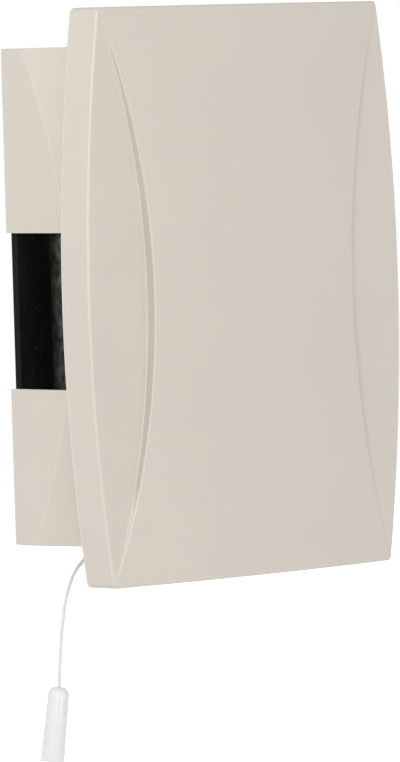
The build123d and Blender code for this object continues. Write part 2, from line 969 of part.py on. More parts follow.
def switch_body():
    body = block(
        switch_left, switch_right, switch_back_depth, switch_front, switch_floor_z, switch_top_z
    )
    cavity = block(
        switch_left + switch_wall, switch_right - switch_wall,
        switch_back_depth + switch_wall, switch_front + overrun,
        switch_floor_z + switch_wall, switch_top_z - switch_wall,
    )
    body = body - cavity
    for x, z in lid_screw_places():
        post = rod_forward(
            small_screw_radius + switch_wall, x, z, switch_back_depth, switch_front
        )
        body = body + (post & block(
            switch_left, switch_right, switch_back_depth, switch_front, switch_floor_z,
            switch_top_z,
        ))
        body = body - rod_forward(
            small_screw_radius + fixed_gap, x, z, switch_back_depth + switch_wall,
            switch_front + overrun,
        )
    for z in switch_ear_heights():
        ear = block(
            switch_right - switch_wall / 2, switch_right + switch_ear_width, switch_back_depth,
            switch_back_depth + switch_ear_thickness, z - switch_ear_height / 2,
            z + switch_ear_height / 2,
        )
        hole = rod_forward(
            small_screw_radius + fixed_gap, ear_x, z, switch_back_depth - overrun,
            switch_back_depth + switch_ear_thickness + overrun,
        )
        body = body + ear - hole
    for depth0, depth1 in contact_depths():
        body = body - block(
            switch_right - switch_wall - overrun, switch_right + overrun, depth0 - fixed_gap,
            depth1 + fixed_gap, contact_z - fixed_gap, contact_z + contact_thickness + fixed_gap,
        )
    body = body - rod_down(
        stem_radius + seat_gap, cord_x, works_depth, switch_floor_z + 2 * switch_wall,
        switch_floor_z - overrun,
    )
    body = body - rod_forward(
        lever_pin_radius + fixed_gap, pivot_x, pivot_z, switch_back_depth - overrun,
        switch_back_depth + switch_wall + overrun,
    )
    return only_solid(body)


def switch_lid():
    lid = block(
        switch_left, switch_right, switch_front, switch_front + switch_lid_thickness,
        switch_floor_z, switch_top_z,
    )
    places = [(x, z, small_screw_radius) for x, z in lid_screw_places()]
    for x, z, radius in places + [(pivot_x, pivot_z, lever_pin_radius)]:
        lid = lid - rod_forward(
            radius + fixed_gap, x, z, switch_front - overrun,
            switch_front + switch_lid_thickness + overrun,
        )
    return only_solid(lid)


def lid_screws():
    return [
        slotted_screw(
            (x, -(switch_front + switch_lid_thickness), z), (0, 1, 0), small_screw_radius,
            small_screw_head_radius, small_screw_head_height, switch_inner_depth / 2,
        )
        for x, z in lid_screw_places()
    ]


def switch_screws():
    return [
        slotted_screw(
            (ear_x, -(switch_back_depth + switch_ear_thickness), z), (0, 1, 0),
            small_screw_radius, small_screw_head_radius, small_screw_head_height,
            switch_ear_thickness + switch_back_depth - tray_floor - seat_gap,
        )
        for z in switch_ear_heights()
    ]


def lever_pin():
    return rod_forward(
        lever_pin_radius, pivot_x, pivot_z, switch_back_depth, switch_front + switch_lid_thickness
    )


# Turn a piece of the lever from level to its place at rest
def at_rest(shape):
    return shape.rotate(Axis((pivot_x, 0, pivot_z), (0, 1, 0)), lever_angle)


def contact_lever():
    fork_half = peg_radius + fork_gap
    lever = block(
        pivot_x - lever_arm - fork_overhang, pivot_x - lever_hub_radius / 2, lever_back,
        lever_front, pivot_z - fork_half - fork_wall, pivot_z + fork_half + fork_wall,
    )
    lever = lever - block(
        pivot_x - lever_arm - fork_overhang - overrun,
        pivot_x - lever_arm + peg_radius + fork_gap + fork_gap,
        lever_back - overrun, lever_front + overrun, pivot_z - fork_half, pivot_z + fork_half,
    )
    lever = lever + block(
        pivot_x, pivot_x + bridge_end, lever_back, lever_front, pivot_z - lever_half_height,
        pivot_z + lever_half_height,
    )
    lever = lever + block(
        pivot_x + bridge_end - bridge_width, pivot_x + bridge_end, lever_back,
        lever_back + bridge_length, pivot_z - lever_half_height, pivot_z + lever_half_height,
    )
    lever = lever + rod_forward(lever_hub_radius, pivot_x, pivot_z, lever_back, lever_front)
    lever = lever - rod_forward(
        lever_pin_radius + running_gap, pivot_x, pivot_z, lever_back - overrun,
        lever_front + overrun,
    )
    return only_solid(at_rest(lever))


def contact_bridge():
    bridge = block(
        pivot_x + bridge_end - bridge_width, pivot_x + bridge_end, lever_back,
        lever_back + bridge_length, pivot_z + lever_half_height, pivot_z + bridge_top,
    )
    return only_solid(at_rest(bridge))


def fixed_contacts():
    contacts = []
    for depth0, depth1 in contact_depths():
        contacts.append(
            block(
                pivot_x + bridge_end - bridge_width - seat_gap,
                switch_right + contact_tab_length, depth0, depth1, contact_z,
                contact_z + contact_thickness,
            )
        )
    return contacts


def pull_slider():
    half = slider_width / 2
    slider = block(
        cord_x - half, cord_x + half, slider_back, slider_back + slider_width, slider_bottom_z,
        slider_top_z,
    )
    slider = fillet(slider.edges().filter_by(Axis.Z), peg_radius / 2)
    slider = slider + rod_down(stem_radius, cord_x, works_depth, slider_bottom_z, stem_end_z)
    slider = slider + rod_forward(
        peg_radius, cord_x, peg_z, lever_back + seat_gap, slider_back + overrun
    )
    return only_solid(slider)


def slider_spring():
    floor = switch_floor_z + switch_wall
    spring = rod_down(slider_spring_radius, cord_x, works_depth, slider_bottom_z, floor)
    return only_solid(
        spring - rod_down(
            slider_spring_radius - slider_spring_wall, cord_x, works_depth,
            slider_bottom_z + overrun, floor - overrun,
        )
    )


# The bush is turned about the cord's line, so its outline is drawn as radius against height
def cord_guide():
    flange_bottom = -tray_half_height + tray_wall
    flange_top = flange_bottom + guide_flange
    flare_top = -case_half_height + guide_flare
    flare_end = guide_bore_radius + guide_flare
    outline = [
        Line((guide_bore_radius, flare_top), (guide_bore_radius, flange_top)),
        Line((guide_bore_radius, flange_top), (guide_flange_radius, flange_top)),
        Line((guide_flange_radius, flange_top), (guide_flange_radius, flange_bottom)),
        Line((guide_flange_radius, flange_bottom), (guide_neck_radius, flange_bottom)),
        Line((guide_neck_radius, flange_bottom), (guide_neck_radius, -case_half_height)),
        Line((guide_neck_radius, -case_half_height), (flare_end, -case_half_height)),
        RadiusArc((flare_end, -case_half_height), (guide_bore_radius, flare_top), guide_flare),
    ]
    face = Plane.XZ * make_face(outline)
    return only_solid(Pos(cord_x, -works_depth, 0) * revolve(face, axis=Axis.Z))


# Arc radii of a route, as large as the runs beside each corner allow
def route_radii(points):
    radii = []
    for before, corner, after in zip(points, points[1:], points[2:]):
        first = Vector(*corner) - Vector(*before)
        second = Vector(*after) - Vector(*corner)
        half_turn = radians(first.get_angle(second)) / 2
        run_share = 0.45
        radii.append(run_share * min(first.length, second.length) / tan(half_turn))
    return radii


def tube(name, points, radius):
    radii = route_radii(points)
    path = FilletPolyline(*points, radius=radii)
    start = Vector(*points[0])
    section = Plane(origin=start, z_dir=Vector(*points[1]) - start) * Circle(radius)
    solid = only_solid(sweep(section, path=path))
    expected = pi * radius**2 * path.length
    print(name, "arc radii", [round(value, 1) for value in radii])
    print(name, "length", round(path.length, 1), "volume share", round(solid.volume / expected, 4))
    return solid


def pull_cord():
    return tube("pull_cord", cord_route, cord_radius)


# The knob hangs along the cord's last run
def pull_knob():
    end = Vector(*cord_route[-1])
    way = (end - Vector(*cord_route[-2])).normalized()
    top = end - way * knob_socket_depth
    outline = Polyline(
        (0, 0), (knob_top_radius, 0), (knob_bottom_radius, knob_length), (0, knob_length),
        close=True,
    )
    knob = revolve(Plane.XZ * make_face(outline), axis=Axis.Z)
    rims = knob.edges().filter_by(GeomType.CIRCLE).sort_by(Axis.Z)
    knob = fillet(rims[0], knob_shoulder)
    rims = knob.edges().filter_by(GeomType.CIRCLE).sort_by(Axis.Z)
    knob = fillet(rims[-1], knob_bottom_round)
    socket = Pos(0, 0, (knob_socket_depth - overrun) / 2) * Cylinder(
        cord_radius + knob_socket_gap, knob_socket_depth + overrun
    )
    return only_solid(Plane(origin=top, z_dir=way) * (knob - socket))


def leads(name, routes):
    return [tube(name, route, lead_radius) for route in routes]


def as_list(shapes):
    return shapes if isinstance(shapes, list) else [shapes]


nodes = {
    "front_shield": front_shield,
    "case_hood": case_hood,
    "shield_screws": shield_screws,
    "base_tray": base_tray,
    "tone_plate_high": lambda: tone_plate(-1, plate_high_length),
    "tone_plate_low": lambda: tone_plate(1, plate_low_length),
    "plate_grommets": plate_grommets,
    "plate_screws": plate_screws,
    "solenoid_yoke": solenoid_yoke,
    "yoke_screws": yoke_screws,
    "coil_bobbin": coil_bobbin,
    "coil_winding": coil_winding,
    "coil_pins": coil_pins,
    "plunger_sleeve": plunger_sleeve,
    "plunger_core": plunger_core,
    "striker_high": lambda: striker(core_left, plunger_left),
    "striker_low": lambda: striker(core_right, plunger_right),
    "plunger_clip": plunger_clip,
    "plunger_spring": plunger_spring,
    "terminal_block": terminal_block,
    "terminal_plates": terminal_plates,
    "terminal_screws": terminal_screws,
    "block_screws": block_screws,
    "cable_grommet": cable_grommet,
    "coil_leads": lambda: leads("coil_leads", coil_lead_routes),
    "switch_leads": lambda: leads("switch_leads", switch_lead_routes),
    "switch_body": switch_body,
    "switch_lid": switch_lid,
    "lid_screws": lid_screws,
    "switch_screws": switch_screws,
    "lever_pin": lever_pin,
    "contact_lever": contact_lever,
    "contact_bridge": contact_bridge,
    "fixed_contacts": fixed_contacts,
    "pull_slider": pull_slider,
    "slider_spring": slider_spring,
    "cord_guide": cord_guide,
    "pull_cord": pull_cord,
    "pull_knob": pull_knob,
}

os.makedirs("parts", exist_ok=True)
for name, make in nodes.items():
    shapes = as_list(make())
    piece = shapes[0] if len(shapes) == 1 else Compound(children=shapes)
    export_step(piece, "parts/" + name + ".step")
    print(name, len(shapes), round(sum(shape.volume for shape in shapes), 1))
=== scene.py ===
import json
from math import cos, hypot, pi, radians, sin, sqrt

import bmesh
import bpy
from mathutils import Matrix, Vector


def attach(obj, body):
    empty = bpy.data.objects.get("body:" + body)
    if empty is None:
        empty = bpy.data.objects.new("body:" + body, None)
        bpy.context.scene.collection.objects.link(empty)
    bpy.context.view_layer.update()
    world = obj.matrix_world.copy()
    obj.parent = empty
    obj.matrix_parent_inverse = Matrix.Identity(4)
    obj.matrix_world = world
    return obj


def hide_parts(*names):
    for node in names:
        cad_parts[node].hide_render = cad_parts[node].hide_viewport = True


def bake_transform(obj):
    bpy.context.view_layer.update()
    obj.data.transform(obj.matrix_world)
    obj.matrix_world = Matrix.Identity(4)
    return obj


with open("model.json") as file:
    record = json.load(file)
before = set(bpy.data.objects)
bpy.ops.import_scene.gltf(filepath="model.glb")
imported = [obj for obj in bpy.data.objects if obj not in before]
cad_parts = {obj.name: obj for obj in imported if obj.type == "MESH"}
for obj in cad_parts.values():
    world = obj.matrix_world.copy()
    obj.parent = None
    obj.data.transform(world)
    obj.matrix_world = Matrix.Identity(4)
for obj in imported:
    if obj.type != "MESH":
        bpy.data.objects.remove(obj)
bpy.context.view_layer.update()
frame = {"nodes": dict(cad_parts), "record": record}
cadNodes = frame["nodes"]
scene = bpy.context.scene
mm = 0.001
slotOf = {part["node"]: part["material_slot"] for part in frame["record"]["subparts"]}
colourOf = {entry["slot"]: entry["base_color"] for entry in frame["record"]["materials"]}
print("frame loaded:", len(cadNodes), "pieces")


def show(piece):
    if piece.name not in scene.collection.objects:
        scene.collection.objects.link(piece)


# The camera stands in front of the box, to its left
cameraSettings = {
    "azimuth": 43.338, "elevation": 2.023, "roll": 1.678, "distance": 2.3686,
    "aimRight": 19.123 * mm, "aimUp": -33.36 * mm, "lens": 314.3, "sensor": 36.0, "clipEnd": 20.0,
}


def makeCamera(given):
    azimuth, elevation = radians(given["azimuth"]), radians(given["elevation"])
    level = cos(elevation)
    toCamera = Vector((-sin(azimuth) * level, -cos(azimuth) * level, sin(elevation)))
    across = Vector((cos(azimuth), -sin(azimuth), 0))
    aim = across * given["aimRight"] + toCamera.cross(across) * given["aimUp"]
    place = toCamera * given["distance"]
    back = (place - aim).normalized()
    right = Vector((0, 0, 1)).cross(back).normalized()
    above = back.cross(right)
    roll = radians(given["roll"])
    sideways = right * cos(roll) - above * sin(roll)
    upright = right * sin(roll) + above * cos(roll)
    data = bpy.data.cameras.new("camera")
    data.lens = given["lens"]
    data.sensor_fit = "VERTICAL"  # the photograph is taller than it is wide
    data.sensor_height = given["sensor"]
    data.clip_end = given["clipEnd"]
    camera = bpy.data.objects.new("camera", data)
    turned = Matrix((sideways, upright, back)).transposed().to_4x4()
    turned.translation = place
    camera.matrix_world = turned
    show(camera)
    scene.camera = camera


makeCamera(cameraSettings)
print("camera placed")


# A socket of a node tree: sums, products and the like of it add Math nodes
class Signal:
    def __init__(self, graph, socket):
        self.graph = graph
        self.socket = socket

    def out(self, name):
        return Signal(self.graph, self.socket.node.outputs[name])

    def math(self, operation, *terms):
        return self.graph.node("ShaderNodeMath", dict(enumerate(terms)), {"operation": operation})

    def __add__(self, other):
        return self.math("ADD", self, other)

    def __radd__(self, other):
        return self.math("ADD", other, self)

    def __sub__(self, other):
        return self.math("SUBTRACT", self, other)

    def __rsub__(self, other):
        return self.math("SUBTRACT", other, self)

    def __mul__(self, other):
        return self.math("MULTIPLY", self, other)

    def __truediv__(self, other):
        return self.math("DIVIDE", self, other)

    def between(self, low, high):
        return self.math("MINIMUM", self.math("MAXIMUM", self, low), high)

    # From 0 at start to 1 at full, which may be the lower of the two
    def rise(self, start, full):
        return ((self - start) / (full - start)).between(0, 1)

    def size(self):
        return self.math("ABSOLUTE", self)

    def wave(self, pitch):
        return self.math("SINE", self * (2 * pi / pitch)) * 0.5 + 0.5


class Graph:
    def __init__(self, tree):
        self.tree = tree

    # Settings are set first, then values and links go to the sockets, by name or number
    def node(self, kind, sockets=None, settings=None, output=0):
        made = self.tree.nodes.new(kind)
        for key, value in (settings or {}).items():
            if key == "stops":
                for element, place in zip(made.color_ramp.elements, value):
                    element.position = place
            else:
                setattr(made, key, value)
        for key, value in (sockets or {}).items():
            if isinstance(value, Signal):
                self.tree.links.new(value.socket, made.inputs[key])
            else:
                made.inputs[key].default_value = value
        return Signal(self, made.outputs[output]) if len(made.outputs) else None

    # Noise whose lumps are about size across, drawn out by the shares of stretch
    def noise(self, place, size, detail=2.0, stretch=(1, 1, 1)):
        scale = [share / size for share in stretch]
        placed = self.node("ShaderNodeMapping", {"Vector": place, "Scale": scale})
        sockets = {"Vector": placed, "Scale": 1.0, "Detail": detail}
        return self.node("ShaderNodeTexNoise", sockets)

    # From black at low to white at high
    def ramp(self, value, low, high):
        return self.node("ShaderNodeValToRGB", {"Fac": value}, {"stops": (low, high)})

    # Socket 0 is the share, 6 and 7 the colours and output 2 the mixed colour
    def blend(self, share, first, second):
        sockets = {0: share}
        for number, colour in ((6, first), (7, second)):
            sockets[number] = colour if isinstance(colour, Signal) else (*colour, 1)
        return self.node("ShaderNodeMix", sockets, {"data_type": "RGBA"}, output=2)

    def bump(self, height, depth):
        sockets = {"Height": height, "Distance": depth, "Strength": 1.0}
        return self.node("ShaderNodeBump", sockets)

    def attribute(self, name):
        named = {"attribute_name": name}
        return self.node("ShaderNodeAttribute", settings=named, output="Fac")

    def align(self, way):
        return self.node("FunctionNodeAlignRotationToVector", {"Vector": way}, {"axis": "Z"})

    def surface(self, sockets):
        shader = self.node("ShaderNodeBsdfPrincipled", sockets)
        self.node("ShaderNodeOutputMaterial", {"Surface": shader})


# The empty graph of a material or a world
def newGraph(owner):
    owner.use_nodes = True
    owner.node_tree.nodes.clear()
    return Graph(owner.node_tree)


# A finish gives what goes to the shader: plain values that are fixed, and signals that vary
def makeMaterial(slot, finish, look):
    material = bpy.data.materials.new(slot)
    graph = newGraph(material)
    place = graph.node("ShaderNodeTexCoord", output="Object")
    graph.surface(finish(graph, place, colourOf[slot], look))
    return material


def tinted(colour, share):
    return tuple(min(1, part * share) for part in colour)


# The darker and the paler colour of a finish
def tintsOf(colour, look):
    return [tinted(colour, share) for share in look["tints"]]


def softness(weight, depth):
    return {"Subsurface Weight": weight, "Subsurface Radius": (1, 1, 1), "Subsurface Scale": depth}


def partsOf(graph, vector):
    parts = graph.node("ShaderNodeSeparateXYZ", {"Vector": vector})
    return [parts.out(axis) for axis in "XYZ"]


def normalParts(graph):
    return partsOf(graph, graph.node("ShaderNodeNewGeometry", output="True Normal"))


# The cover: painted shade darkens the steps of its panel, and painted highlights lighten
# the lower ends of the steps and the crease along each flank
def coverMarks(graph, place, look):
    x, y, z = partsOf(graph, place)
    step = normalParts(graph)[0].size().rise(*look["steep"]) * y.rise(*look["stepPlace"])
    upper = z.rise(*look["stepFoot"])
    bow = look["creaseBow"]
    drop = bow - z.math("SQRT", bow * bow - z * z)
    off = (y + look["creaseDepth"] - drop).size()
    crease = off.rise(*look["creaseLine"]) * x.size().rise(*look["flankSide"])
    # bright is the painted highlight on the lower ends of the steps and along the creases; the
    # first mark returned is painted shade on the rest of each step
    bright = step * (1 - upper) * look["shine"] + crease * look["creaseShine"]
    return step * upper * look["grime"], bright


# Dust and painted light on the black base: its leaning strip, where the notches leave it open, is
# paler in clouds of dust with a painted sheen that grows towards the front; towards its back and on
# its back edge it is painted paler
def baseDust(graph, place, look):
    x, y, z = partsOf(graph, place)
    leaning = normalParts(graph)[1].rise(*look["lean"])
    clouds = graph.noise(place, look["hazeSize"], 7, look["hazeStretch"])
    clouds = graph.ramp(clouds, *look["hazeBand"])
    notch = z.rise(*look["notchFoot"]) * z.rise(*look["notchTop"]) * x.size().rise(*look["sides"])
    # The strip is painted paler towards the front: a painted sheen that also makes up for the rim's
    # shade there
    paintedSheenForward = y.rise(*look["strip"])
    thin, thick = look["hazeShares"]
    rear, front = look["stripShares"]
    patchy = (thin + clouds * thick) * (rear + paintedSheenForward * paintedSheenForward * front)
    strip = leaning * notch * y.rise(*look["stripEnd"]) * patchy
    # Painted light: the wall is made paler towards the back, and the back edge more so
    edge, wall = look["backShares"]
    back = y.rise(*look["backEdge"]) * edge + y.rise(*look["wall"]) * wall
    return (strip + back * (1 - leaning)) * look["haze"]


# Moulded plastic: slow clouds of colour, a fine stipple, a little dust, and paler edges that are
# painted highlights; the cover also gets painted shade and highlights on its steps, and the black
# base dust with a painted sheen
def mouldedPlastic(graph, place, colour, look):
    colour = tinted(colour, look["tint"])
    faded, highlightColour = tinted(colour, 1 - look["fade"]), tinted(colour, look["wornTint"])
    cloud = graph.noise(place, look["cloud"], 3)
    stipple = graph.noise(place, look["stipple"], 2)
    specks = graph.ramp(graph.noise(place, look["speckSize"], 1), *look["speckBand"])
    smudges = graph.noise(place, look["smudgeSize"], 6, look["smudgeStretch"])
    smudges = graph.ramp(smudges, *look["smudgeBand"]) * look["smudges"]
    dustWithSheen = smudges.math("MAXIMUM", specks * look["specks"], smudges)
    # On the black base, dust with a painted sheen
    if look["haze"]:
        dustWithSheen = dustWithSheen + baseDust(graph, place, look)
    shade = graph.blend(graph.ramp(cloud, *look["cloudBand"]), faded, colour)
    # Faces marked as edges are painted paler: a painted highlight along each rounded edge
    shade = graph.blend(graph.attribute("edge") * look["edgeWear"], shade, highlightColour)
    if look["grime"]:
        # Painted shade on the cover's steps, then painted highlights on their lower ends and on the
        # creases
        dark, bright = coverMarks(graph, place, look)
        shade = graph.blend(dark, shade, look["grimeColour"])
        shade = graph.blend(bright, shade, highlightColour)
    rough = look["roughness"] + (cloud - 0.5) * look["spread"] + dustWithSheen
    return {
        "Base Color": graph.blend(dustWithSheen, shade, look["dustColour"]),
        "Roughness": rough.between(0.05, 1),
        "Normal": graph.bump(stipple, look["depth"]),
        "Specular IOR Level": look["gloss"],
        **(softness(look["soft"], look["softDepth"]) if look["soft"] else {}),
    }


plasticLook = {
    "cloud": 22 * mm, "cloudBand": (0.3, 0.7), "fade": 0.03,
    "stipple": 0.6 * mm, "depth": 0.012 * mm,
    "specks": 0.0, "speckSize": 0.9 * mm, "speckBand": (0.76, 0.82),
    "smudges": 0.0, "smudgeSize": 6 * mm, "smudgeStretch": (1, 1, 0.4), "smudgeBand": (0.5, 0.8),
    # Of these, the edge lines are painted highlights, the step marks painted shade and highlights,
    # and the strip haze dust with a painted sheen
    "haze": 0.0, "grime": 0.0, "dustColour": (0.4, 0.39, 0.37), "edgeWear": 0.25, "wornTint": 1.25,
    "tint": 1.0, "soft": 0.0, "softDepth": 5 * mm,
    "roughness": 0.42, "spread": 0.12, "gloss": 0.5,
}
# A pair of places or slopes says where a mark starts and where it is full
plasticLooks = {
    "cover_plastic": {
        "roughness": 0.34, "depth": 0.022 * mm, "fade": 0.02, "cloud": 45 * mm, "edgeWear": 0.35,
        # The steps get painted shade, and painted highlights at their lower ends; the creases get a
        # painted highlight
        "steep": (0.6, 0.8), "stepPlace": (-53.1 * mm, -53.2 * mm),
        "stepFoot": (-74 * mm, -66 * mm), "shine": 0.6,
        "grime": 0.17, "grimeColour": (0.33, 0.31, 0.275),
        "creaseDepth": 31 * mm, "creaseBow": 189.5 * mm, "creaseLine": (0.65 * mm, 0.15 * mm),
        "creaseShine": 0.2, "flankSide": (64.2 * mm, 64.4 * mm),
    },
    "black_plastic": {
        "roughness": 0.36, "tint": 0.07, "fade": 0.3, "gloss": 0.015,
        "specks": 0.2, "speckSize": 0.7 * mm, "smudges": 0.01,
        # The haze is dust with a painted sheen, stronger towards the front; the back shares are
        # painted light
        "haze": 0.105, "hazeSize": 1.7 * mm, "hazeStretch": (1, 1, 0.5), "hazeBand": (0.36, 0.7),
        "hazeShares": (0.3, 1.4), "lean": (0, -0.4545),
        "strip": (-19.2 * mm, -24.4 * mm), "stripShares": (0.16, 2.9),
        "stripEnd": (-28.4 * mm, -25.4 * mm), "sides": (56 * mm, 58 * mm),
        "notchFoot": (-36 * mm, -30 * mm), "notchTop": (27 * mm, 21 * mm),
        "backEdge": (-3.2 * mm, -2.7 * mm), "wall": (-16 * mm, -3 * mm), "backShares": (0.3, 0.05),
    },
    "bobbin_plastic": {"roughness": 0.35, "depth": 0.008 * mm},
    "striker_nylon": {"roughness": 0.3, "depth": 0.006 * mm},
    "terminal_plastic": {"roughness": 0.45, "smudges": 0.1},
    "switch_plastic": {"roughness": 0.45, "smudges": 0.1},
    "switch_black": {"roughness": 0.4, "smudges": 0.05, "fade": 0.3, "gloss": 0.3},
    "guide_white": {"roughness": 0.3, "depth": 0.006 * mm},
    "knob_white": {
        "roughness": 0.28, "depth": 0.005 * mm, "cloud": 9 * mm, "fade": 0.02,
        "tint": 0.95, "soft": 1.0,
    },
}


# Drawn or ground metal: fine lines along one direction, and dull patches
def drawnMetal(graph, place, colour, look):
    dull, bright = tintsOf(colour, look)
    lines = graph.noise(place, look["line"], 2, look["stretch"])
    patches = graph.noise(place, look["patch"], 4)
    shade = graph.blend(graph.ramp(patches, *look["patchBand"]), dull, colour)
    rough = (lines - 0.5) * look["lineRough"] + (patches - 0.5) * look["patchRough"]
    return {
        "Metallic": 1.0,
        "Base Color": graph.blend(lines * look["lineShare"], shade, bright),
        "Roughness": (rough + look["roughness"]).between(0.08, 1),
        "Normal": graph.bump(lines, look["depth"]),
    }


metalLook = {
    "line": 0.12 * mm, "stretch": (1, 1, 1), "lineShare": 0.25, "depth": 0.004 * mm,
    "patch": 6 * mm, "patchBand": (0.35, 0.7), "tints": (0.82, 1.2),
    "roughness": 0.32, "lineRough": 0.25, "patchRough": 0.2,
}
metalLooks = {
    "tone_steel": {"stretch": (1, 1, 0.02), "line": 0.2 * mm, "roughness": 0.36},
    "yoke_steel": {"stretch": (0.3, 1, 1), "line": 0.3 * mm, "roughness": 0.45},
    "brass": {"stretch": (0.1, 1, 1), "roughness": 0.28},
    "core_steel": {"stretch": (1, 0.04, 0.04), "roughness": 0.26},
    "spring_steel": {"line": 0.4 * mm, "roughness": 0.3},
}


# Turned screws: rings round the axis, from the radius that their mesh carries
def turnedMetal(graph, place, colour, look):
    rings = graph.attribute("turned").wave(look["ring"])
    patches = graph.noise(place, look["patch"], 3)
    rough = look["roughness"] + rings * look["ringRough"] + patches * look["patchRough"]
    return {
        "Metallic": 1.0,
        "Base Color": graph.blend(patches, *tintsOf(colour, look)),
        "Roughness": rough.between(0.05, 1),
        "Normal": graph.bump(rings, look["depth"]),
    }


screwLook = {
    "ring": 0.35 * mm, "patch": 2 * mm, "tints": (0.8, 1.08), "depth": 0.01 * mm,
    "roughness": 0.24, "ringRough": 0.08, "patchRough": 0.12,
}


# Rubber with a grey bloom
def softRubber(graph, place, colour, look):
    bloom = graph.ramp(graph.noise(place, look["bloomSize"], 4), *look["bloomBand"])
    grain = graph.noise(place, look["grain"], 2)
    return {
        "Base Color": graph.blend(bloom * look["bloom"], colour, look["bloomColour"]),
        "Roughness": look["roughness"] + bloom * look["bloomRough"],
        "Normal": graph.bump(grain, look["depth"]),
        "Specular IOR Level": look["gloss"],
    }


rubberLook = {
    "bloom": 0.4, "bloomSize": 4 * mm, "bloomBand": (0.45, 0.75), "bloomColour": (0.2, 0.2, 0.2),
    "grain": 0.3 * mm, "depth": 0.02 * mm, "roughness": 0.68, "bloomRough": 0.2, "gloss": 0.35,
}


# Enamelled wire: metal under a clear coat, with darker turns here and there
def enamelledWire(graph, place, colour, look):
    turns = graph.noise(place, look["turn"], 2, look["stretch"])
    return {
        "Metallic": 1.0,
        "Base Color": graph.blend(graph.ramp(turns, *look["turnBand"]), *tintsOf(colour, look)),
        "Roughness": look["roughness"] + turns * look["turnRough"],
        "Coat Weight": look["coat"],
        "Coat Roughness": look["coatRough"],
    }


enamelLook = {
    "turn": 0.9 * mm, "stretch": (1, 0.1, 0.1), "turnBand": (0.3, 0.7), "tints": (0.7, 1.15),
    "roughness": 0.3, "turnRough": 0.15, "coat": 0.7, "coatRough": 0.12,
}


# Twisted string: slanting strands round the cord, and loose fibres
def twistedString(graph, place, colour, look):
    x, y, z = partsOf(graph, place)
    strands = (z + x * look["slant"] + y * look["slant"]).wave(look["pitch"])
    fibres = graph.noise(place, look["fibre"], 3)
    paler = strands * look["strandShare"] + fibres * look["fibreShare"]
    return {
        "Base Color": graph.blend(paler, *tintsOf(colour, look)),
        "Roughness": look["roughness"] + fibres * look["fibreRough"],
        "Normal": graph.bump(strands + fibres * look["fibreShare"], look["depth"]),
        "Sheen Weight": look["sheen"],
        **softness(look["soft"], look["softDepth"]),
    }


stringLook = {
    "slant": 0.9, "pitch": 1.1 * mm, "fibre": 0.25 * mm, "depth": 0.03 * mm,
    "strandShare": 0.5, "fibreShare": 0.4, "tints": (0.86, 1.02),
    "roughness": 0.75, "fibreRough": 0.2, "sheen": 0.25, "soft": 1.0, "softDepth": 2 * mm,
}


# Wire covering: soft and even, with a slight shine
def wireCovering(graph, place, colour, look):
    marks = graph.noise(place, look["mark"], 3)
    return {
        "Base Color": graph.blend(graph.ramp(marks, *look["markBand"]), *tintsOf(colour, look)),
        "Roughness": look["roughness"] + marks * look["markRough"],
        "Normal": graph.bump(marks, look["depth"]),
    }


wireLook = {
    "mark": 3 * mm, "markBand": (0.3, 0.8), "tints": (0.85, 1.1), "depth": 0.02 * mm,
    "roughness": 0.34, "markRough": 0.2,
}

finishOf = {slot: (mouldedPlastic, {**plasticLook, **look}) for slot, look in plasticLooks.items()}
finishOf.update({slot: (drawnMetal, {**metalLook, **look}) for slot, look in metalLooks.items()})
finishOf["zinc_screw"] = (turnedMetal, screwLook)
finishOf["rubber"] = (softRubber, rubberLook)
finishOf["copper"] = (enamelledWire, enamelLook)
finishOf["cord"] = (twistedString, stringLook)
finishOf["lead_red"] = finishOf["lead_blue"] = (wireCovering, wireLook)
finishes = {slot: makeMaterial(slot, *given) for slot, given in finishOf.items()}
for name, node in cadNodes.items():
    for holder in node.material_slots:
        holder.material = finishes[slotOf[name]]
print("finishes made:", len(finishes))


# Tone plates have their pitch in front: tone_plate_high gives highTonePlate
def pieceName(node):
    first, *others = node.split("_")
    if first == "tone":
        first, others = others[1], [first, others[0]]
    return first + "".join(word.title() for word in others)


# Every new piece rides on its body and takes the finish of the node that it stands for
def place(piece, node, body):
    slot = slotOf[node]
    show(piece)
    if not piece.data.materials:
        piece.data.materials.append(finishes[slot])
    piece.material_slots[0].material = finishes[slot]
    if body:
        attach(piece, body)
    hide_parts(node)


def smoothed(mesh, angle):
    for face in mesh.polygons:
        face.use_smooth = True
    mesh.set_sharp_from_angle(angle=radians(angle))
    return mesh


def meshOf(name, bm, angle=40):
    mesh = bpy.data.meshes.new(name)
    bmesh.ops.recalc_face_normals(bm, faces=bm.faces)
    bm.to_mesh(mesh)
    bm.free()
    return smoothed(mesh, angle)


def pieceOf(name, bm, angle=40):
    return bpy.data.objects.new(name, meshOf(name, bm, angle))


# Faces from each loop of points to the next one; a loop may be one point, over and over
def bridge(bm, loops):
    for first, second in zip(loops, loops[1:]):
        for step in range(len(first)):
            after = (step + 1) % len(first)
            corners = dict.fromkeys((first[step], first[after], second[after], second[step]))
            if len(corners) > 2:
                bm.faces.new(list(corners))


# A profile of (along, radius) points in mm, turned about the z axis, and closed for a ring
def lathe(bm, profile, steps, ring=False):
    loops = []
    for along, radius in profile:
        along, radius = along * mm, radius * mm
        if radius:
            turns = [2 * pi * step / steps for step in range(steps)]
            spots = [(radius * cos(turn), radius * sin(turn), along) for turn in turns]
            loops.append([bm.verts.new(spot) for spot in spots])
        else:
            loops.append([bm.verts.new((0, 0, along))] * steps)
    points = [point for loop in loops for point in dict.fromkeys(loop)]
    if ring:
        loops.append(loops[0])
    bridge(bm, loops)
    return points


# Takes points of a form made along z to a starting place, and turns them to run along a way
def aim(bm, points, way, start):
    turned = Vector((0, 0, 1)).rotation_difference(way).to_matrix().to_4x4()
    turned.translation = start
    bmesh.ops.transform(bm, matrix=turned, verts=points)


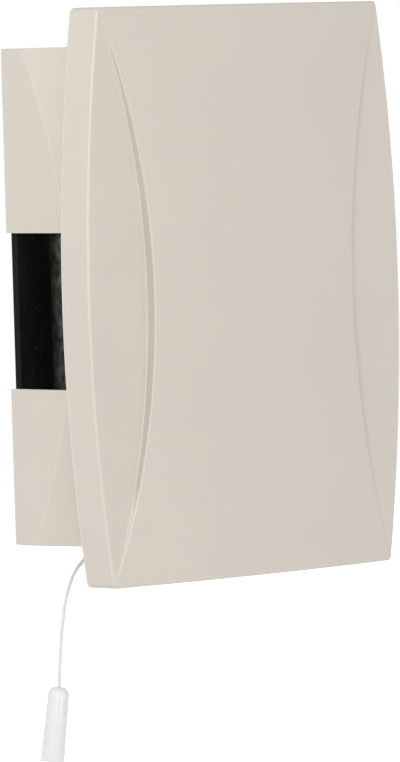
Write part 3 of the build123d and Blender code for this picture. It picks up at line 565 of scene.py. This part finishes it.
# A quarter turn of a rounded edge, from one point of a profile to another
def quarter(startAlong, startRadius, endAlong, endRadius, steps, radiusFirst):
    points = []
    for step in range(1, steps + 1):
        turn = pi / 2 * step / steps
        early, late = sin(turn), 1 - cos(turn)
        alongShare, radiusShare = (late, early) if radiusFirst else (early, late)
        along = startAlong + (endAlong - startAlong) * alongShare
        points.append((along, startRadius + (endRadius - startRadius) * radiusShare))
    return points


curveSteps = {"around": 4, "along": 12}


def openCurve(name, points, radius):
    data = bpy.data.curves.new(name, "CURVE")
    data.dimensions = "3D"
    data.bevel_depth = radius
    data.bevel_resolution = curveSteps["around"]
    data.use_fill_caps = True
    data.resolution_u = curveSteps["along"]
    spline = data.splines.new("NURBS")
    spline.points.add(len(points) - 1)
    for point, (x, y, z) in zip(spline.points, points):
        point.co = (x * mm, y * mm, z * mm, 1)
    spline.order_u = 3
    spline.use_endpoint_u = True
    return bpy.data.objects.new(name, data)


# The pull cord hangs from the guide under the box, with its knob on its end
cordSettings = {"radius": 0.6 * mm, "length": 62 * mm, "exit": (-46 * mm, -20 * mm, -82 * mm)}
cordPoints = [
    (-46, -20, -82), (-46, -20, -86.6), (-50.2, -20, -91.2), (-55.6, -19.6, -95.8),
    (-59.1, -19.1, -103.2), (-60.9, -18.6, -112), (-61.9, -18.1, -122.2),
    (-62.3, -17.7, -130.5), (-62.4, -17.4, -135.9), (-62.9, -17.3, -139.4),
]
pullCord = openCurve("pullCord", cordPoints, cordSettings["radius"])
place(pullCord, "pull_cord", "pull")

knobSettings = {
    "length": 26.2, "topRadius": 3.65, "bottomRadius": 4.1, "shoulder": 2.3, "bottomRound": 0.4,
    "socketRadius": 0.9, "socketDepth": 3.4, "lip": 0.3, "steps": 48,
}


def makeKnob(given):
    shoulder, foot = given["shoulder"], given["bottomRound"]
    length, mouth, lip = given["length"], given["socketRadius"], given["lip"]
    top, bottom = given["topRadius"], given["bottomRadius"]
    profile = [(given["socketDepth"], 0), (given["socketDepth"], mouth), (lip, mouth)]
    profile += quarter(lip, mouth, 0, mouth + lip, 4, False)
    profile.append((0, top - shoulder))
    profile += quarter(0, top - shoulder, shoulder, top, 8, True)
    profile.append((length - foot, bottom))
    profile += quarter(length - foot, bottom, length, bottom - foot, 4, False)
    profile.append((length, 0))
    bm = bmesh.new()
    points = lathe(bm, profile, given["steps"])
    end, before = Vector(cordPoints[-1]) * mm, Vector(cordPoints[-2]) * mm
    way = (end - before).normalized()
    aim(bm, points, way, end - way * given["socketDepth"] * mm)
    return pieceOf("pullKnob", bm)


pullKnob = makeKnob(knobSettings)
place(pullKnob, "pull_knob", "pull")
print("cord and knob hung")


# The front: a crowned panel between two lens-shaped recesses, with a rim turned back all round
shieldSettings = {
    "middleHalf": 75.9, "cornerHalf": 68.0, "halfHeight": 100.0, "rimBack": 39.0,
    "floorDepth": 53.0, "crestDepth": 58.85, "crownAcross": 3.8, "crownAlong": 1.9,
    "floorRise": 0.5, "panelMiddleHalf": 48.8, "footRound": 0.4, "crestRound": 0.5,
    "roundReach": 1.15, "slopeShare": 0.45, "leastRise": 0.02, "draft": 0.1, "edgeChamfer": 0.55,
    "edgeRound": 0.3, "edgeMargin": 0.25, "edgeCorner": 1.5, "wall": 2.2, "innerChamfer": 0.3,
    "innerRound": 0.1, "innerCorner": 0.5, "sideDepths": (47, 43), "rimChamfer": 0.35,
    "rimRound": (0.7, 1.2), "rimMark": (38.9, 40.3), "rows": 64, "floorColumns": 8,
    "panelColumns": 22, "bossRadius": 3.6, "bossRound": 0.3, "bossX": 40.0, "bossZ": 72.0,
    "bossBack": 50.85, "bossSink": 0.6, "bossSteps": 32,
}


def sagitta(radius, across):
    return radius - sqrt(radius * radius - across * across)


def bowRadius(half, rise):
    return (half * half + rise * rise) / (2 * rise)


def evenShares(steps):
    return [step / steps for step in range(steps + 1)]


def quadratic(first, middle, last, steps):
    shares = evenShares(steps)
    return [first * (1 - t) ** 2 + middle * (2 * t * (1 - t)) + last * t**2 for t in shares]


def shieldForm(given):
    height, corner = given["halfHeight"], given["cornerHalf"]
    outlineBow = bowRadius(height, given["middleHalf"] - corner)
    panelBow = bowRadius(height, corner - given["panelMiddleHalf"])
    acrossBow = bowRadius(corner, given["crownAcross"])
    alongBow = bowRadius(height, given["crownAlong"])
    recess = given["middleHalf"] - given["panelMiddleHalf"]

    def outline(z):
        return given["middleHalf"] - sagitta(outlineBow, z)

    def foot(z):
        return given["panelMiddleHalf"] + sagitta(panelBow, z)

    def floor(x):
        return given["floorDepth"] + given["floorRise"] * (given["middleHalf"] - x) / recess

    def crown(x, z):
        return given["crestDepth"] - sagitta(acrossBow, x) - sagitta(alongBow, z)

    return outline, foot, floor, crown


# The edge of the front: pairs of how far in a point lies and how far it has dropped back
def edgeProfile(chamfer, soft):
    start, low = Vector((0, chamfer + soft)), Vector((0, chamfer))
    high, end = Vector((chamfer, 0)), Vector((chamfer + soft, 0))
    slant = (high - low).normalized() * soft
    return quadratic(start, low, low + slant, 3) + quadratic(high - slant, high, end, 3)


def dropAt(profile, inside):
    for first, second in zip(profile, profile[1:]):
        if inside <= second.x:
            share = (inside - first.x) / max(second.x - first.x, 1e-6)
            return first.y + (second.y - first.y) * min(max(share, 0), 1)
    return 0


# One row of the front at height z, from the outline to the middle: pairs of x and depth
def shieldRow(given, form, z, inset, edge, corner):
    outline, foot, floor, crown = form
    wide = outline(z) - inset
    margin = given["edgeChamfer"] + given["edgeRound"] + given["edgeMargin"]
    footX = min(foot(z), outline(z) - margin) - inset
    rise = max(crown(footX, z) - floor(footX), given["leastRise"])
    crestX = footX - given["draft"] * rise
    most = hypot(rise, footX - crestX) * given["slopeShare"]
    start = wide - corner
    footReach = min(given["footRound"], most, (start - footX) / 2)
    crestReach = min(given["crestRound"], most)
    end = footX + footReach * given["roundReach"]
    row = [wide - point.x for point in edge]
    row += [start + (end - start) * share for share in evenShares(given["floorColumns"])[:-1]]
    row = [(x, floor(x)) for x in row]
    low, high = Vector((footX, floor(footX))), Vector((crestX, crown(crestX, z)))
    upward = (high - low).normalized()
    before = Vector((end, floor(end)))
    row += [tuple(point) for point in quadratic(before, low, low + upward * footReach, 4)]
    last = crestX - crestReach * given["roundReach"]
    after = Vector((last, crown(last, z)))
    row += [tuple(point) for point in quadratic(high - upward * crestReach, high, after, 4)]
    columns = [after.x * (1 - share) for share in evenShares(given["panelColumns"])[1:]]
    return row + [(x, crown(x, z)) for x in columns], wide


# A whole sheet of the front: the outer face for an inset of 0, the inner one for a wall's inset
def shieldSheet(bm, given, form, inset):
    height = given["halfHeight"] - inset
    side = "inner" if inset else "edge"
    edge = edgeProfile(given[side + "Chamfer"], given[side + "Round"])
    corner = given[side + "Corner"]
    ends = [height - point.x for point in edge]
    inner = height - corner
    heights = ends + [inner * cos(pi * share) for share in evenShares(given["rows"])]
    heights += [-z for z in reversed(ends)]
    grid = []
    for z in heights:
        half, wide = shieldRow(given, form, z, inset, edge, corner)
        points = [(-x, depth) for x, depth in half] + half[-2::-1]
        row = []
        for x, depth in points:
            fromSide, fromEnd = wide - abs(x), height - abs(z)
            newX, newZ, inside = x, z, min(fromSide, fromEnd)
            if fromSide < corner and fromEnd < corner:
                a, b = 1 - fromSide / corner, 1 - fromEnd / corner
                roundA, roundB = a * sqrt(1 - b * b / 2), b * sqrt(1 - a * a / 2)
                newX = (wide - corner * (1 - roundA)) * (1 if x > 0 else -1)
                newZ = (height - corner * (1 - roundB)) * (1 if z > 0 else -1)
                inside = corner * (1 - hypot(roundA, roundB))
            back = depth - inset - dropAt(edge, inside)
            row.append(bm.verts.new((newX * mm, -back * mm, newZ * mm)))
        grid.append(row)
    for upper, lower in zip(grid, grid[1:]):
        for left in range(len(upper) - 1):
            bm.faces.new((upper[left], lower[left], lower[left + 1], upper[left + 1]))
    rightSide, leftSide = [row[-1] for row in grid[:-1]], [row[0] for row in grid[:0:-1]]
    return grid[0][:-1] + rightSide + grid[-1][:0:-1] + leftSide


def makeShield(given):
    bm = bmesh.new()
    form = shieldForm(given)
    outer = shieldSheet(bm, given, form, 0)
    wall, back, chamfer = given["wall"], given["rimBack"], given["rimChamfer"]
    inner = shieldSheet(bm, given, form, wall)
    across, along = given["rimRound"]
    turned = quadratic(Vector((0, along)), Vector((0, 0)), Vector((across, 0)), 5)
    steps = [(0, depth) for depth in given["sideDepths"]]
    steps += [(spot.x / wall, back + spot.y) for spot in turned]
    steps += [(1 - chamfer / wall, back), (1, back + chamfer)]
    loops = [outer]
    for inward, depth in steps:
        loop = []
        for near, far in zip(outer, inner):
            spot = near.co + (far.co - near.co) * inward
            loop.append(bm.verts.new((spot.x, -depth * mm, spot.z)))
        loops.append(loop)
    loops.append(inner)
    bridge(bm, loops)
    bmesh.ops.recalc_face_normals(bm, faces=bm.faces)
    radius, soft, foot = given["bossRadius"], given["bossRound"], given["bossBack"]
    for x in (-given["bossX"], given["bossX"]):
        for z in (-given["bossZ"], given["bossZ"]):
            length = form[3](abs(x), z) - wall + given["bossSink"] - foot
            profile = [(0, 0), (0, radius - soft), (soft, radius), (length, radius), (length, 0)]
            points = lathe(bm, profile, given["bossSteps"])
            aim(bm, points, Vector((0, -1, 0)), Vector((x, -foot, z)) * mm)
    return pieceOf("frontShield", bm, 32)


# Only what is in the scene has a final mesh
def finalMesh(piece):
    show(piece)
    graph = bpy.context.evaluated_depsgraph_get()
    return bpy.data.meshes.new_from_object(piece.evaluated_get(graph))


def plainMesh(piece):
    mesh = finalMesh(piece)
    piece.modifiers.clear()
    piece.data = mesh
    return mesh


# The broad faces keep their own shading, and the narrow rounds between them take up the turn
def flatFaces(piece):
    weighted = piece.modifiers.new("broad faces", "WEIGHTED_NORMAL")
    weighted.keep_sharp = True
    plainMesh(piece)


# Faces on an edge carry a mark, which the finish turns into a paler line, a painted highlight
def markEdges(mesh, marked):
    marks = mesh.attributes.new("edge", "FLOAT", "FACE")
    for face, value in zip(mesh.polygons, marks.data):
        value.value = 1.0 if marked(face) else 0.0


frontShield = makeShield(shieldSettings)
# The round at the rim's back edge is marked for a painted highlight line
rimBack, rimFront = shieldSettings["rimMark"]
markEdges(frontShield.data, lambda face: rimBack * mm < -face.center.y < rimFront * mm)
flatFaces(frontShield)
place(frontShield, "front_shield", "cover")
print("front shield made:", len(frontShield.data.polygons), "faces")


# The other moulded and pressed pieces get their small edge rounds here
roundSettings = {
    "case_hood": ("cover", 0.45, 12), "base_tray": ("base", 0.3), "terminal_block": ("base", 0.25),
    "switch_body": ("base", 0.25), "switch_lid": ("base", 0.25), "solenoid_yoke": ("base", 0.15),
    "tone_plate_high": ("base", 0.2), "tone_plate_low": ("base", 0.2),
    "coil_bobbin": ("base", 0.15), "contact_lever": ("switch_lever", 0.15),
    "pull_slider": ("pull", 0.2),
}
# How the node's mesh is cleaned before its edges are rounded, in lengths and degrees
cleanSettings = {"weld": 0.002 * mm, "least": 0.001 * mm, "flat": 0.8, "smooth": 34}


def roundedCopy(node, body, width, sharp=40):
    name, clean = pieceName(node), cleanSettings
    bm = bmesh.new()
    bm.from_mesh(cadNodes[node].data)
    for layer in list(bm.loops.layers.float_vector.values()):
        bm.loops.layers.float_vector.remove(layer)
    bmesh.ops.remove_doubles(bm, verts=bm.verts, dist=clean["weld"])
    bmesh.ops.dissolve_degenerate(bm, dist=clean["least"], edges=bm.edges)
    flat = radians(clean["flat"])
    bmesh.ops.dissolve_limit(bm, angle_limit=flat, verts=bm.verts, edges=bm.edges)
    mesh = bpy.data.meshes.new(name)
    bm.to_mesh(mesh)
    bm.free()
    mesh.polygons.foreach_set("material_index", [0] * len(mesh.polygons))
    for index in range(2):
        mesh.materials.append(finishes[slotOf[node]])
    piece = bpy.data.objects.new(name, mesh)
    bevel = piece.modifiers.new("edges", "BEVEL")
    bevel.width = width * mm
    bevel.segments = 2
    bevel.limit_method = "ANGLE"
    bevel.angle_limit = radians(sharp)
    bevel.use_clamp_overlap = True
    bevel.material = 1  # the second slot only marks the faces that the bevel makes
    mesh = smoothed(plainMesh(piece), clean["smooth"])
    # The bevel's faces are marked for the painted highlight along each edge
    markEdges(mesh, lambda face: face.material_index == 1)
    mesh.materials.pop(index=1)
    flatFaces(piece)
    place(piece, node, body)


for node, given in roundSettings.items():
    roundedCopy(node, *given)
print("edges rounded on", len(roundSettings), "pieces")


# The loose wires inside: two from the coil and two from the switch
leadRadius = 0.65 * mm
coilLeadRoutes = [
    [
        (-11.5, -16, -8), (-11.5, -16, -15), (-9.8, -10, -25), (-8.4, -7.6, -38),
        (-7, -7.4, -50), (-2.4, -8.4, -58), (0, -9.2, -64), (0, -8.95, -68.4),
    ],
    [
        (11.5, -16, -8), (11.5, -16, -15), (10.4, -10.4, -25), (9, -7.6, -38),
        (9.6, -7.4, -50), (12, -8.2, -58), (12.8, -9.2, -64), (12.6, -8.95, -68.4),
    ],
]
switchLeadRoutes = [
    [
        (-22.5, -13.8, -59.6), (-15, -13.9, -59.8), (-6, -13.4, -60.8), (2, -13, -60.6),
        (7.6, -11.6, -62), (9.2, -9.6, -65.4), (9.4, -8.95, -68.4),
    ],
    [
        (-22.5, -19.4, -59.6), (-13.5, -19.3, -59.8), (-1, -18.2, -60.8), (11, -16.4, -60.4),
        (19, -13.6, -61.4), (21.6, -10.2, -65.2), (22, -8.95, -68.4),
    ],
]


def makeLeads(node, routes):
    name = pieceName(node)
    wires = [openCurve(name + str(index), route, leadRadius) for index, route in enumerate(routes)]
    bm = bmesh.new()
    for wire in wires:
        mesh = finalMesh(wire)
        bm.from_mesh(mesh)
        bpy.data.meshes.remove(mesh)
        bpy.data.objects.remove(wire)
    bmesh.ops.remove_doubles(bm, verts=bm.verts, dist=cleanSettings["least"])
    place(pieceOf(name, bm), node, "base")


makeLeads("coil_leads", coilLeadRoutes)
makeLeads("switch_leads", switchLeadRoutes)
print("leads laid")


# Starts a geometry tree with named inputs, and gives its graph and the signals of its inputs
def startTree(name, inputs):
    tree = bpy.data.node_groups.new(name, "GeometryNodeTree")
    inputs = {"Geometry": "Geometry", **inputs}
    for label, kind in inputs.items():
        tree.interface.new_socket(label, in_out="INPUT", socket_type="NodeSocket" + kind)
    tree.interface.new_socket("Geometry", in_out="OUTPUT", socket_type="NodeSocketGeometry")
    graph = Graph(tree)
    entry = graph.node("NodeGroupInput")
    return graph, {label: entry.out(label) for label in inputs}


def endTree(graph, geometry, material):
    whole = graph.node("GeometryNodeRealizeInstances", {"Geometry": geometry})
    sockets = {"Geometry": whole, "Material": material}
    finished = graph.node("GeometryNodeSetMaterial", sockets)
    graph.node("NodeGroupOutput", {"Geometry": finished})
    return graph.tree


# Runs a tree on a starting mesh and leaves a plain mesh
def grow(node, tree, start, values):
    piece = bpy.data.objects.new(pieceName(node), start)
    modifier = piece.modifiers.new(tree.name, "NODES")
    modifier.node_group = tree
    for item in tree.interface.items_tree:
        if item.in_out == "INPUT" and item.name in values:
            modifier[item.identifier] = values[item.name]
    plainMesh(piece)
    return piece


# A coil along the x axis: its end turns lie close, and the turns between share the rest
def makeCoilTree():
    inputs = dict.fromkeys(("Radius", "Wire", "Turns", "Length", "Closed"), "Float")
    inputs.update(Steps="Int", Material="Material", Origin="Vector", Direction="Vector")
    graph, given = startTree("coil", inputs)
    line = graph.node("GeometryNodeCurvePrimitiveLine")
    many = graph.node("GeometryNodeResampleCurve", {"Curve": line, "Count": given["Steps"]})
    share = graph.node("GeometryNodeInputIndex") / (given["Steps"] - 1)
    turns, thick = given["Turns"], given["Wire"]
    turn = share * turns * (2 * pi)
    ends = given["Closed"] / turns
    middle = ((share - ends) / (1 - ends * 2)).between(0, 1)
    solid = turns * thick
    along = share * solid + middle * (given["Length"] - thick - solid) + thick * 0.5
    spread = given["Radius"] - thick * 0.5
    aimed = graph.align(given["Direction"])
    across, up = turn.math("COSINE", turn) * spread, turn.math("SINE", turn) * spread
    spot = graph.node("ShaderNodeCombineXYZ", {"X": across, "Y": up, "Z": along})
    turned = graph.node("FunctionNodeRotateVector", {"Vector": spot, "Rotation": aimed})
    sockets = {0: turned, 1: given["Origin"]}
    placed = graph.node("ShaderNodeVectorMath", sockets, {"operation": "ADD"})
    route = graph.node("GeometryNodeSetPosition", {"Geometry": many, "Position": placed})
    section = {"Resolution": 8, "Radius": thick * 0.5}
    circle = graph.node("GeometryNodeCurvePrimitiveCircle", section)
    sockets = {"Curve": route, "Profile Curve": circle, "Fill Caps": True}
    wire = graph.node("GeometryNodeCurveToMesh", sockets)
    return endTree(graph, wire, given["Material"])


coilTree = makeCoilTree()
coilSettings = {
    "plunger_spring": {
        "bodies": ("base", "plunger"), "Radius": 6.0, "Wire": 0.6, "Turns": 6.5, "Closed": 1.0,
        "Length": 9.1, "Origin": (15.65, -20, 10), "Direction": (1, 0, 0), "steps": 28,
    },
    "slider_spring": {
        "bodies": ("base", "pull"), "Radius": 2.6, "Wire": 0.6, "Turns": 8.5, "Closed": 1.0,
        "Length": 12.5, "Origin": (-46, -20, -78.5), "Direction": (0, 0, 1), "steps": 24,
    },
    "coil_winding": {
        "bodies": ("base",), "Radius": 10.2, "Wire": 0.34, "Turns": 74.0, "Closed": 0.0,
        "Length": 25.5, "Origin": (-12.75, -20, 10), "Direction": (1, 0, 0), "steps": 36,
        "coreHalf": 12.7, "coreBore": 6.1, "coreShare": 0.6, "centre": (0, -20, 10),
    },
}


# The turns that lie under the outer layer of the winding
def windingCore(given):
    outer = given["Radius"] - given["Wire"] * given["coreShare"]
    half, bore = given["coreHalf"], given["coreBore"]
    profile = [(-half, bore), (-half, outer), (half, outer), (half, bore)]
    bm = bmesh.new()
    points = lathe(bm, profile, 64, ring=True)
    aim(bm, points, Vector(given["Direction"]), Vector(given["centre"]) * mm)
    return bm


for node, given in coilSettings.items():
    values = {key: given[key] for key in ("Turns", "Closed", "Direction")}
    values.update({key: given[key] * mm for key in ("Radius", "Wire", "Length")})
    values["Origin"] = [part * mm for part in given["Origin"]]
    values["Steps"] = int(given["Turns"] * given["steps"]) + 1
    values["Material"] = finishes[slotOf[node]]
    piece = grow(node, coilTree, bpy.data.meshes.new(pieceName(node)), values)
    if node == "coil_winding":
        bm = windingCore(given)
        bm.from_mesh(piece.data)
        piece.data = meshOf(piece.name, bm)
    smoothed(piece.data, 50)
    stretches = len(given["bodies"]) == 2
    place(piece, node, None if stretches else "base")
    if stretches:
        start = Vector(values["Origin"])
        end = start + Vector(given["Direction"]) * values["Length"]
        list(given["bodies"])
        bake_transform(piece)
print("coils wound:", len(coilSettings))


# Copies of one shape on points: its z axis follows each point's way, turned by a seeded angle
def makeRepeatTree():
    inputs = {"Shape": "Object", "Turn": "Float", "Seed": "Int", "Material": "Material"}
    graph, given = startTree("repeat", inputs)
    shape = graph.node("GeometryNodeObjectInfo", {"Object": given["Shape"]}).out("Geometry")
    kind = {"data_type": "FLOAT_VECTOR"}
    aimed = graph.align(graph.node("GeometryNodeInputNamedAttribute", {"Name": "way"}, kind))
    limits = {2: given["Turn"] * -1, 3: given["Turn"], 8: given["Seed"]}
    angle = graph.node("FunctionNodeRandomValue", limits, {"data_type": "FLOAT"}, output=1)
    spin = graph.node("FunctionNodeAxisAngleToRotation", {"Axis": (0, 0, 1), "Angle": angle})
    sockets = {"Rotation": aimed, "Rotate By": spin}
    turned = graph.node("FunctionNodeRotateRotation", sockets, {"rotation_space": "LOCAL"})
    sockets = {"Points": given["Geometry"], "Instance": shape, "Rotation": turned}
    copies = graph.node("GeometryNodeInstanceOnPoints", sockets)
    return endTree(graph, copies, given["Material"])


repeatTree = makeRepeatTree()


# The low and the high corner of each loose part of a node
def partBoxes(node):
    bm = bmesh.new()
    bm.from_mesh(cadNodes[node].data)
    bmesh.ops.remove_doubles(bm, verts=bm.verts, dist=cleanSettings["least"])
    boxes, seen = [], set()
    for first in bm.verts:
        found, waiting = [], [first]
        while waiting:
            vert = waiting.pop()
            if vert not in seen:
                seen.add(vert)
                found.append(vert.co)
                waiting += [edge.other_vert(vert) for edge in vert.link_edges]
        if found:
            spans = list(zip(*found))
            boxes.append([Vector([pick(span) for span in spans]) for pick in (min, max)])
    bm.free()
    return boxes


# The screw's head is at 0 and its tip points along z; the driver slot is cut by a thin bar
def screwShape(given):
    head, shank = given["headRadius"], given["radius"]
    crown, reach = given["headHeight"], given["reach"]
    dome, rim, edge = given["dome"], given["rim"], given["edge"]
    profile = [(-crown, 0), (-crown, head * dome)]
    profile += quarter(-crown, head * dome, -crown * rim, head, 6, True)
    profile += [(-edge, head), (0, head - edge), (0, shank)]
    pitch, along = given["pitch"], given["threadStart"]
    while along + pitch < reach - given["threadEnd"]:
        root = (along + pitch / 2, shank * given["root"])
        profile += [(along, shank), root, (along + pitch, shank)]
        along += pitch
    tip, neck, point = given["tip"]
    profile += [(reach - tip, shank * neck), (reach, shank * point), (reach, 0)]
    bm = bmesh.new()
    lathe(bm, profile, given["steps"])
    body = pieceOf("screwBody", bm)
    bm = bmesh.new()
    bmesh.ops.create_cube(bm, size=1)
    sizes = Vector((head * 3, given["slotWidth"], given["slotDepth"] * 2)) * mm
    bmesh.ops.scale(bm, vec=sizes, verts=bm.verts)
    bmesh.ops.translate(bm, vec=(0, 0, -crown * mm), verts=bm.verts)
    bar = pieceOf("slotBar", bm)
    show(bar)
    cut = body.modifiers.new("slot", "BOOLEAN")
    cut.object = bar
    cut.solver = "EXACT"
    mesh = smoothed(plainMesh(body), 40)
    bpy.data.objects.remove(bar)
    radii = mesh.attributes.new("turned", "FLOAT", "POINT")
    for vertex, value in zip(mesh.vertices, radii.data):
        value.value = hypot(vertex.co.x, vertex.co.y)
    return body


# A rubber bush with a collar at each end and a bore
def grommetShape(given):
    flange, neck, bore = given["flangeRadius"], given["neckRadius"], given["boreRadius"]
    length, collar, soft = given["length"], given["collar"], given["soft"]
    half = [(0, bore), (0, flange - soft)]
    half += quarter(0, flange - soft, soft, flange, 4, True)
    half += [(collar - soft, flange)]
    half += quarter(collar - soft, flange, collar, flange - soft, 4, False)
    half += [(collar, neck)]
    profile = half + [(length - along, radius) for along, radius in reversed(half)]
    bm = bmesh.new()
    lathe(bm, profile, 40, ring=True)
    return pieceOf("grommetShape", bm)


# Way is where the tips point; for the plates it is outwards, away from the middle
screwForm = {
    "body": "base", "way": (0, 1, 0), "headHeight": 1.5, "radius": 1.4, "dome": 0.55,
    "rim": 0.35, "edge": 0.08, "pitch": 0.6, "threadStart": 0.3, "threadEnd": 0.5, "root": 0.84,
    "tip": (0.4, 0.9, 0.5), "slotWidth": 0.8, "slotDepth": 0.7, "steps": 28,
}
screwSettings = {
    "shield_screws": {"body": "cover", "way": (0, -1, 0), "headHeight": 1.8, "radius": 1.5},
    "yoke_screws": {"headHeight": 1.6, "radius": 1.5},
    "terminal_screws": {"headHeight": 1.7, "radius": 1.5},
    "block_screws": {}, "lid_screws": {}, "switch_screws": {},
    "plate_screws": {"way": (1, 0, 0), "headHeight": 1.8, "radius": 1.75},
}
screwTurn, firstSeed = 1.4, 3


# Points where a node's loose parts start, each with the way that it faces
def startPoints(node, boxes, way, seat):
    axis = 0 if way[0] else 1
    spots, ways = [], []
    for low, high in boxes:
        centre = (low + high) / 2
        facing = Vector(way)
        if axis == 0 and centre.x < 0:
            facing = -facing
        near = low[axis] if facing[axis] > 0 else high[axis]
        centre[axis] = near + facing[axis] * seat * mm
        spots.append(centre)
        ways.append(facing)
    mesh = bpy.data.meshes.new(pieceName(node))
    mesh.from_pydata(spots, [], [])
    attribute = mesh.attributes.new("way", "FLOAT_VECTOR", "POINT")
    for value, facing in zip(attribute.data, ways):
        value.vector = facing
    return mesh


def repeatPiece(node, body, shape, points, turn, seed):
    show(shape)
    values = {"Shape": shape, "Turn": turn, "Seed": seed, "Material": finishes[slotOf[node]]}
    piece = grow(node, repeatTree, points, values)
    bpy.data.objects.remove(shape)
    place(piece, node, body)


for seed, (node, change) in enumerate(screwSettings.items(), firstSeed):
    given = {**screwForm, **change}
    boxes = partBoxes(node)
    low, high = boxes[0]
    axis = 0 if given["way"][0] else 1
    given["headRadius"] = (high.z - low.z) / 2 / mm
    given["reach"] = (high[axis] - low[axis]) / mm - given["headHeight"]
    points = startPoints(node, boxes, given["way"], given["headHeight"])
    repeatPiece(node, given["body"], screwShape(given), points, screwTurn, seed)

grommetSettings = {
    "flangeRadius": 5.6, "neckRadius": 4.15, "boreRadius": 1.9, "length": 7.0, "collar": 2.0,
    "soft": 0.5,
}
grommetPoints = startPoints("plate_grommets", partBoxes("plate_grommets"), (1, 0, 0), 0)
repeatPiece("plate_grommets", "base", grommetShape(grommetSettings), grommetPoints, 0, 1)
print("screws and grommets placed")


# 1 to the camera, also in a mirror or through glass, and 0 to the light that falls on the part
def seenShare(graph):
    rays = graph.node("ShaderNodeLightPath")
    kinds = ("Camera", "Glossy", "Transmission")
    return sum(rays.out("Is " + kind + " Ray") for kind in kinds).between(0, 1)


# The floor is pale, white to the camera, and keeps the shadow
floorSettings = {
    "height": -0.21, "radius": 2.6, "segments": 96, "colour": (0.92, 0.92, 0.92), "glow": 0.56,
}


def makeFloor(given):
    bm = bmesh.new()
    segments, radius = given["segments"], given["radius"]
    bmesh.ops.create_circle(bm, cap_ends=True, segments=segments, radius=radius)
    bmesh.ops.translate(bm, vec=(0, 0, given["height"]), verts=bm.verts)
    floor = pieceOf("floor", bm)
    if floor.data.polygons[0].normal.z < 0:
        floor.data.flip_normals()
    show(floor)
    material = bpy.data.materials.new("paleFloor")
    graph = newGraph(material)
    glow = graph.blend(seenShare(graph), (0, 0, 0), (given["glow"],) * 3)
    fixed = {"Base Color": (*given["colour"], 1), "Roughness": 0.9, "Specular IOR Level": 0.0}
    graph.surface({**fixed, "Emission Color": glow, "Emission Strength": 1.0})
    floor.data.materials.append(material)


makeFloor(floorSettings)

# Each lamp has its place, its size and its power
lightSettings = {
    "sky": 0.42,
    "lamps": {
        "leftLamp": ((-1.75, -1.4, 0.6), 0.8, 15.5),
        "frontLamp": ((0.0, -2.4, 0.0), 0.8, 16.4),
        "sideLamp": ((-1.7, 0.65, 1.0), 1.5, 13.4),
        "rightLamp": ((1.9, 0.4, 0.5), 0.8, 9.0),
    },
}


def makeLights(given):
    world = bpy.data.worlds.new("studio")
    scene.world = world
    graph = newGraph(world)
    colour = graph.blend(seenShare(graph), (given["sky"],) * 3, (1, 1, 1))
    background = graph.node("ShaderNodeBackground", {"Color": colour, "Strength": 1.0})
    graph.node("ShaderNodeOutputWorld", {"Surface": background})
    for name, (spot, size, power) in given["lamps"].items():
        data = bpy.data.lights.new(name, "AREA")
        data.size, data.energy = size, power
        light = bpy.data.objects.new(name, data)
        spot = Vector(spot)
        light.matrix_world = Matrix.LocRotScale(spot, spot.to_track_quat("Z", "Y"), None)
        show(light)


makeLights(lightSettings)
scene.view_settings.view_transform = "Standard"
print("stage lit")
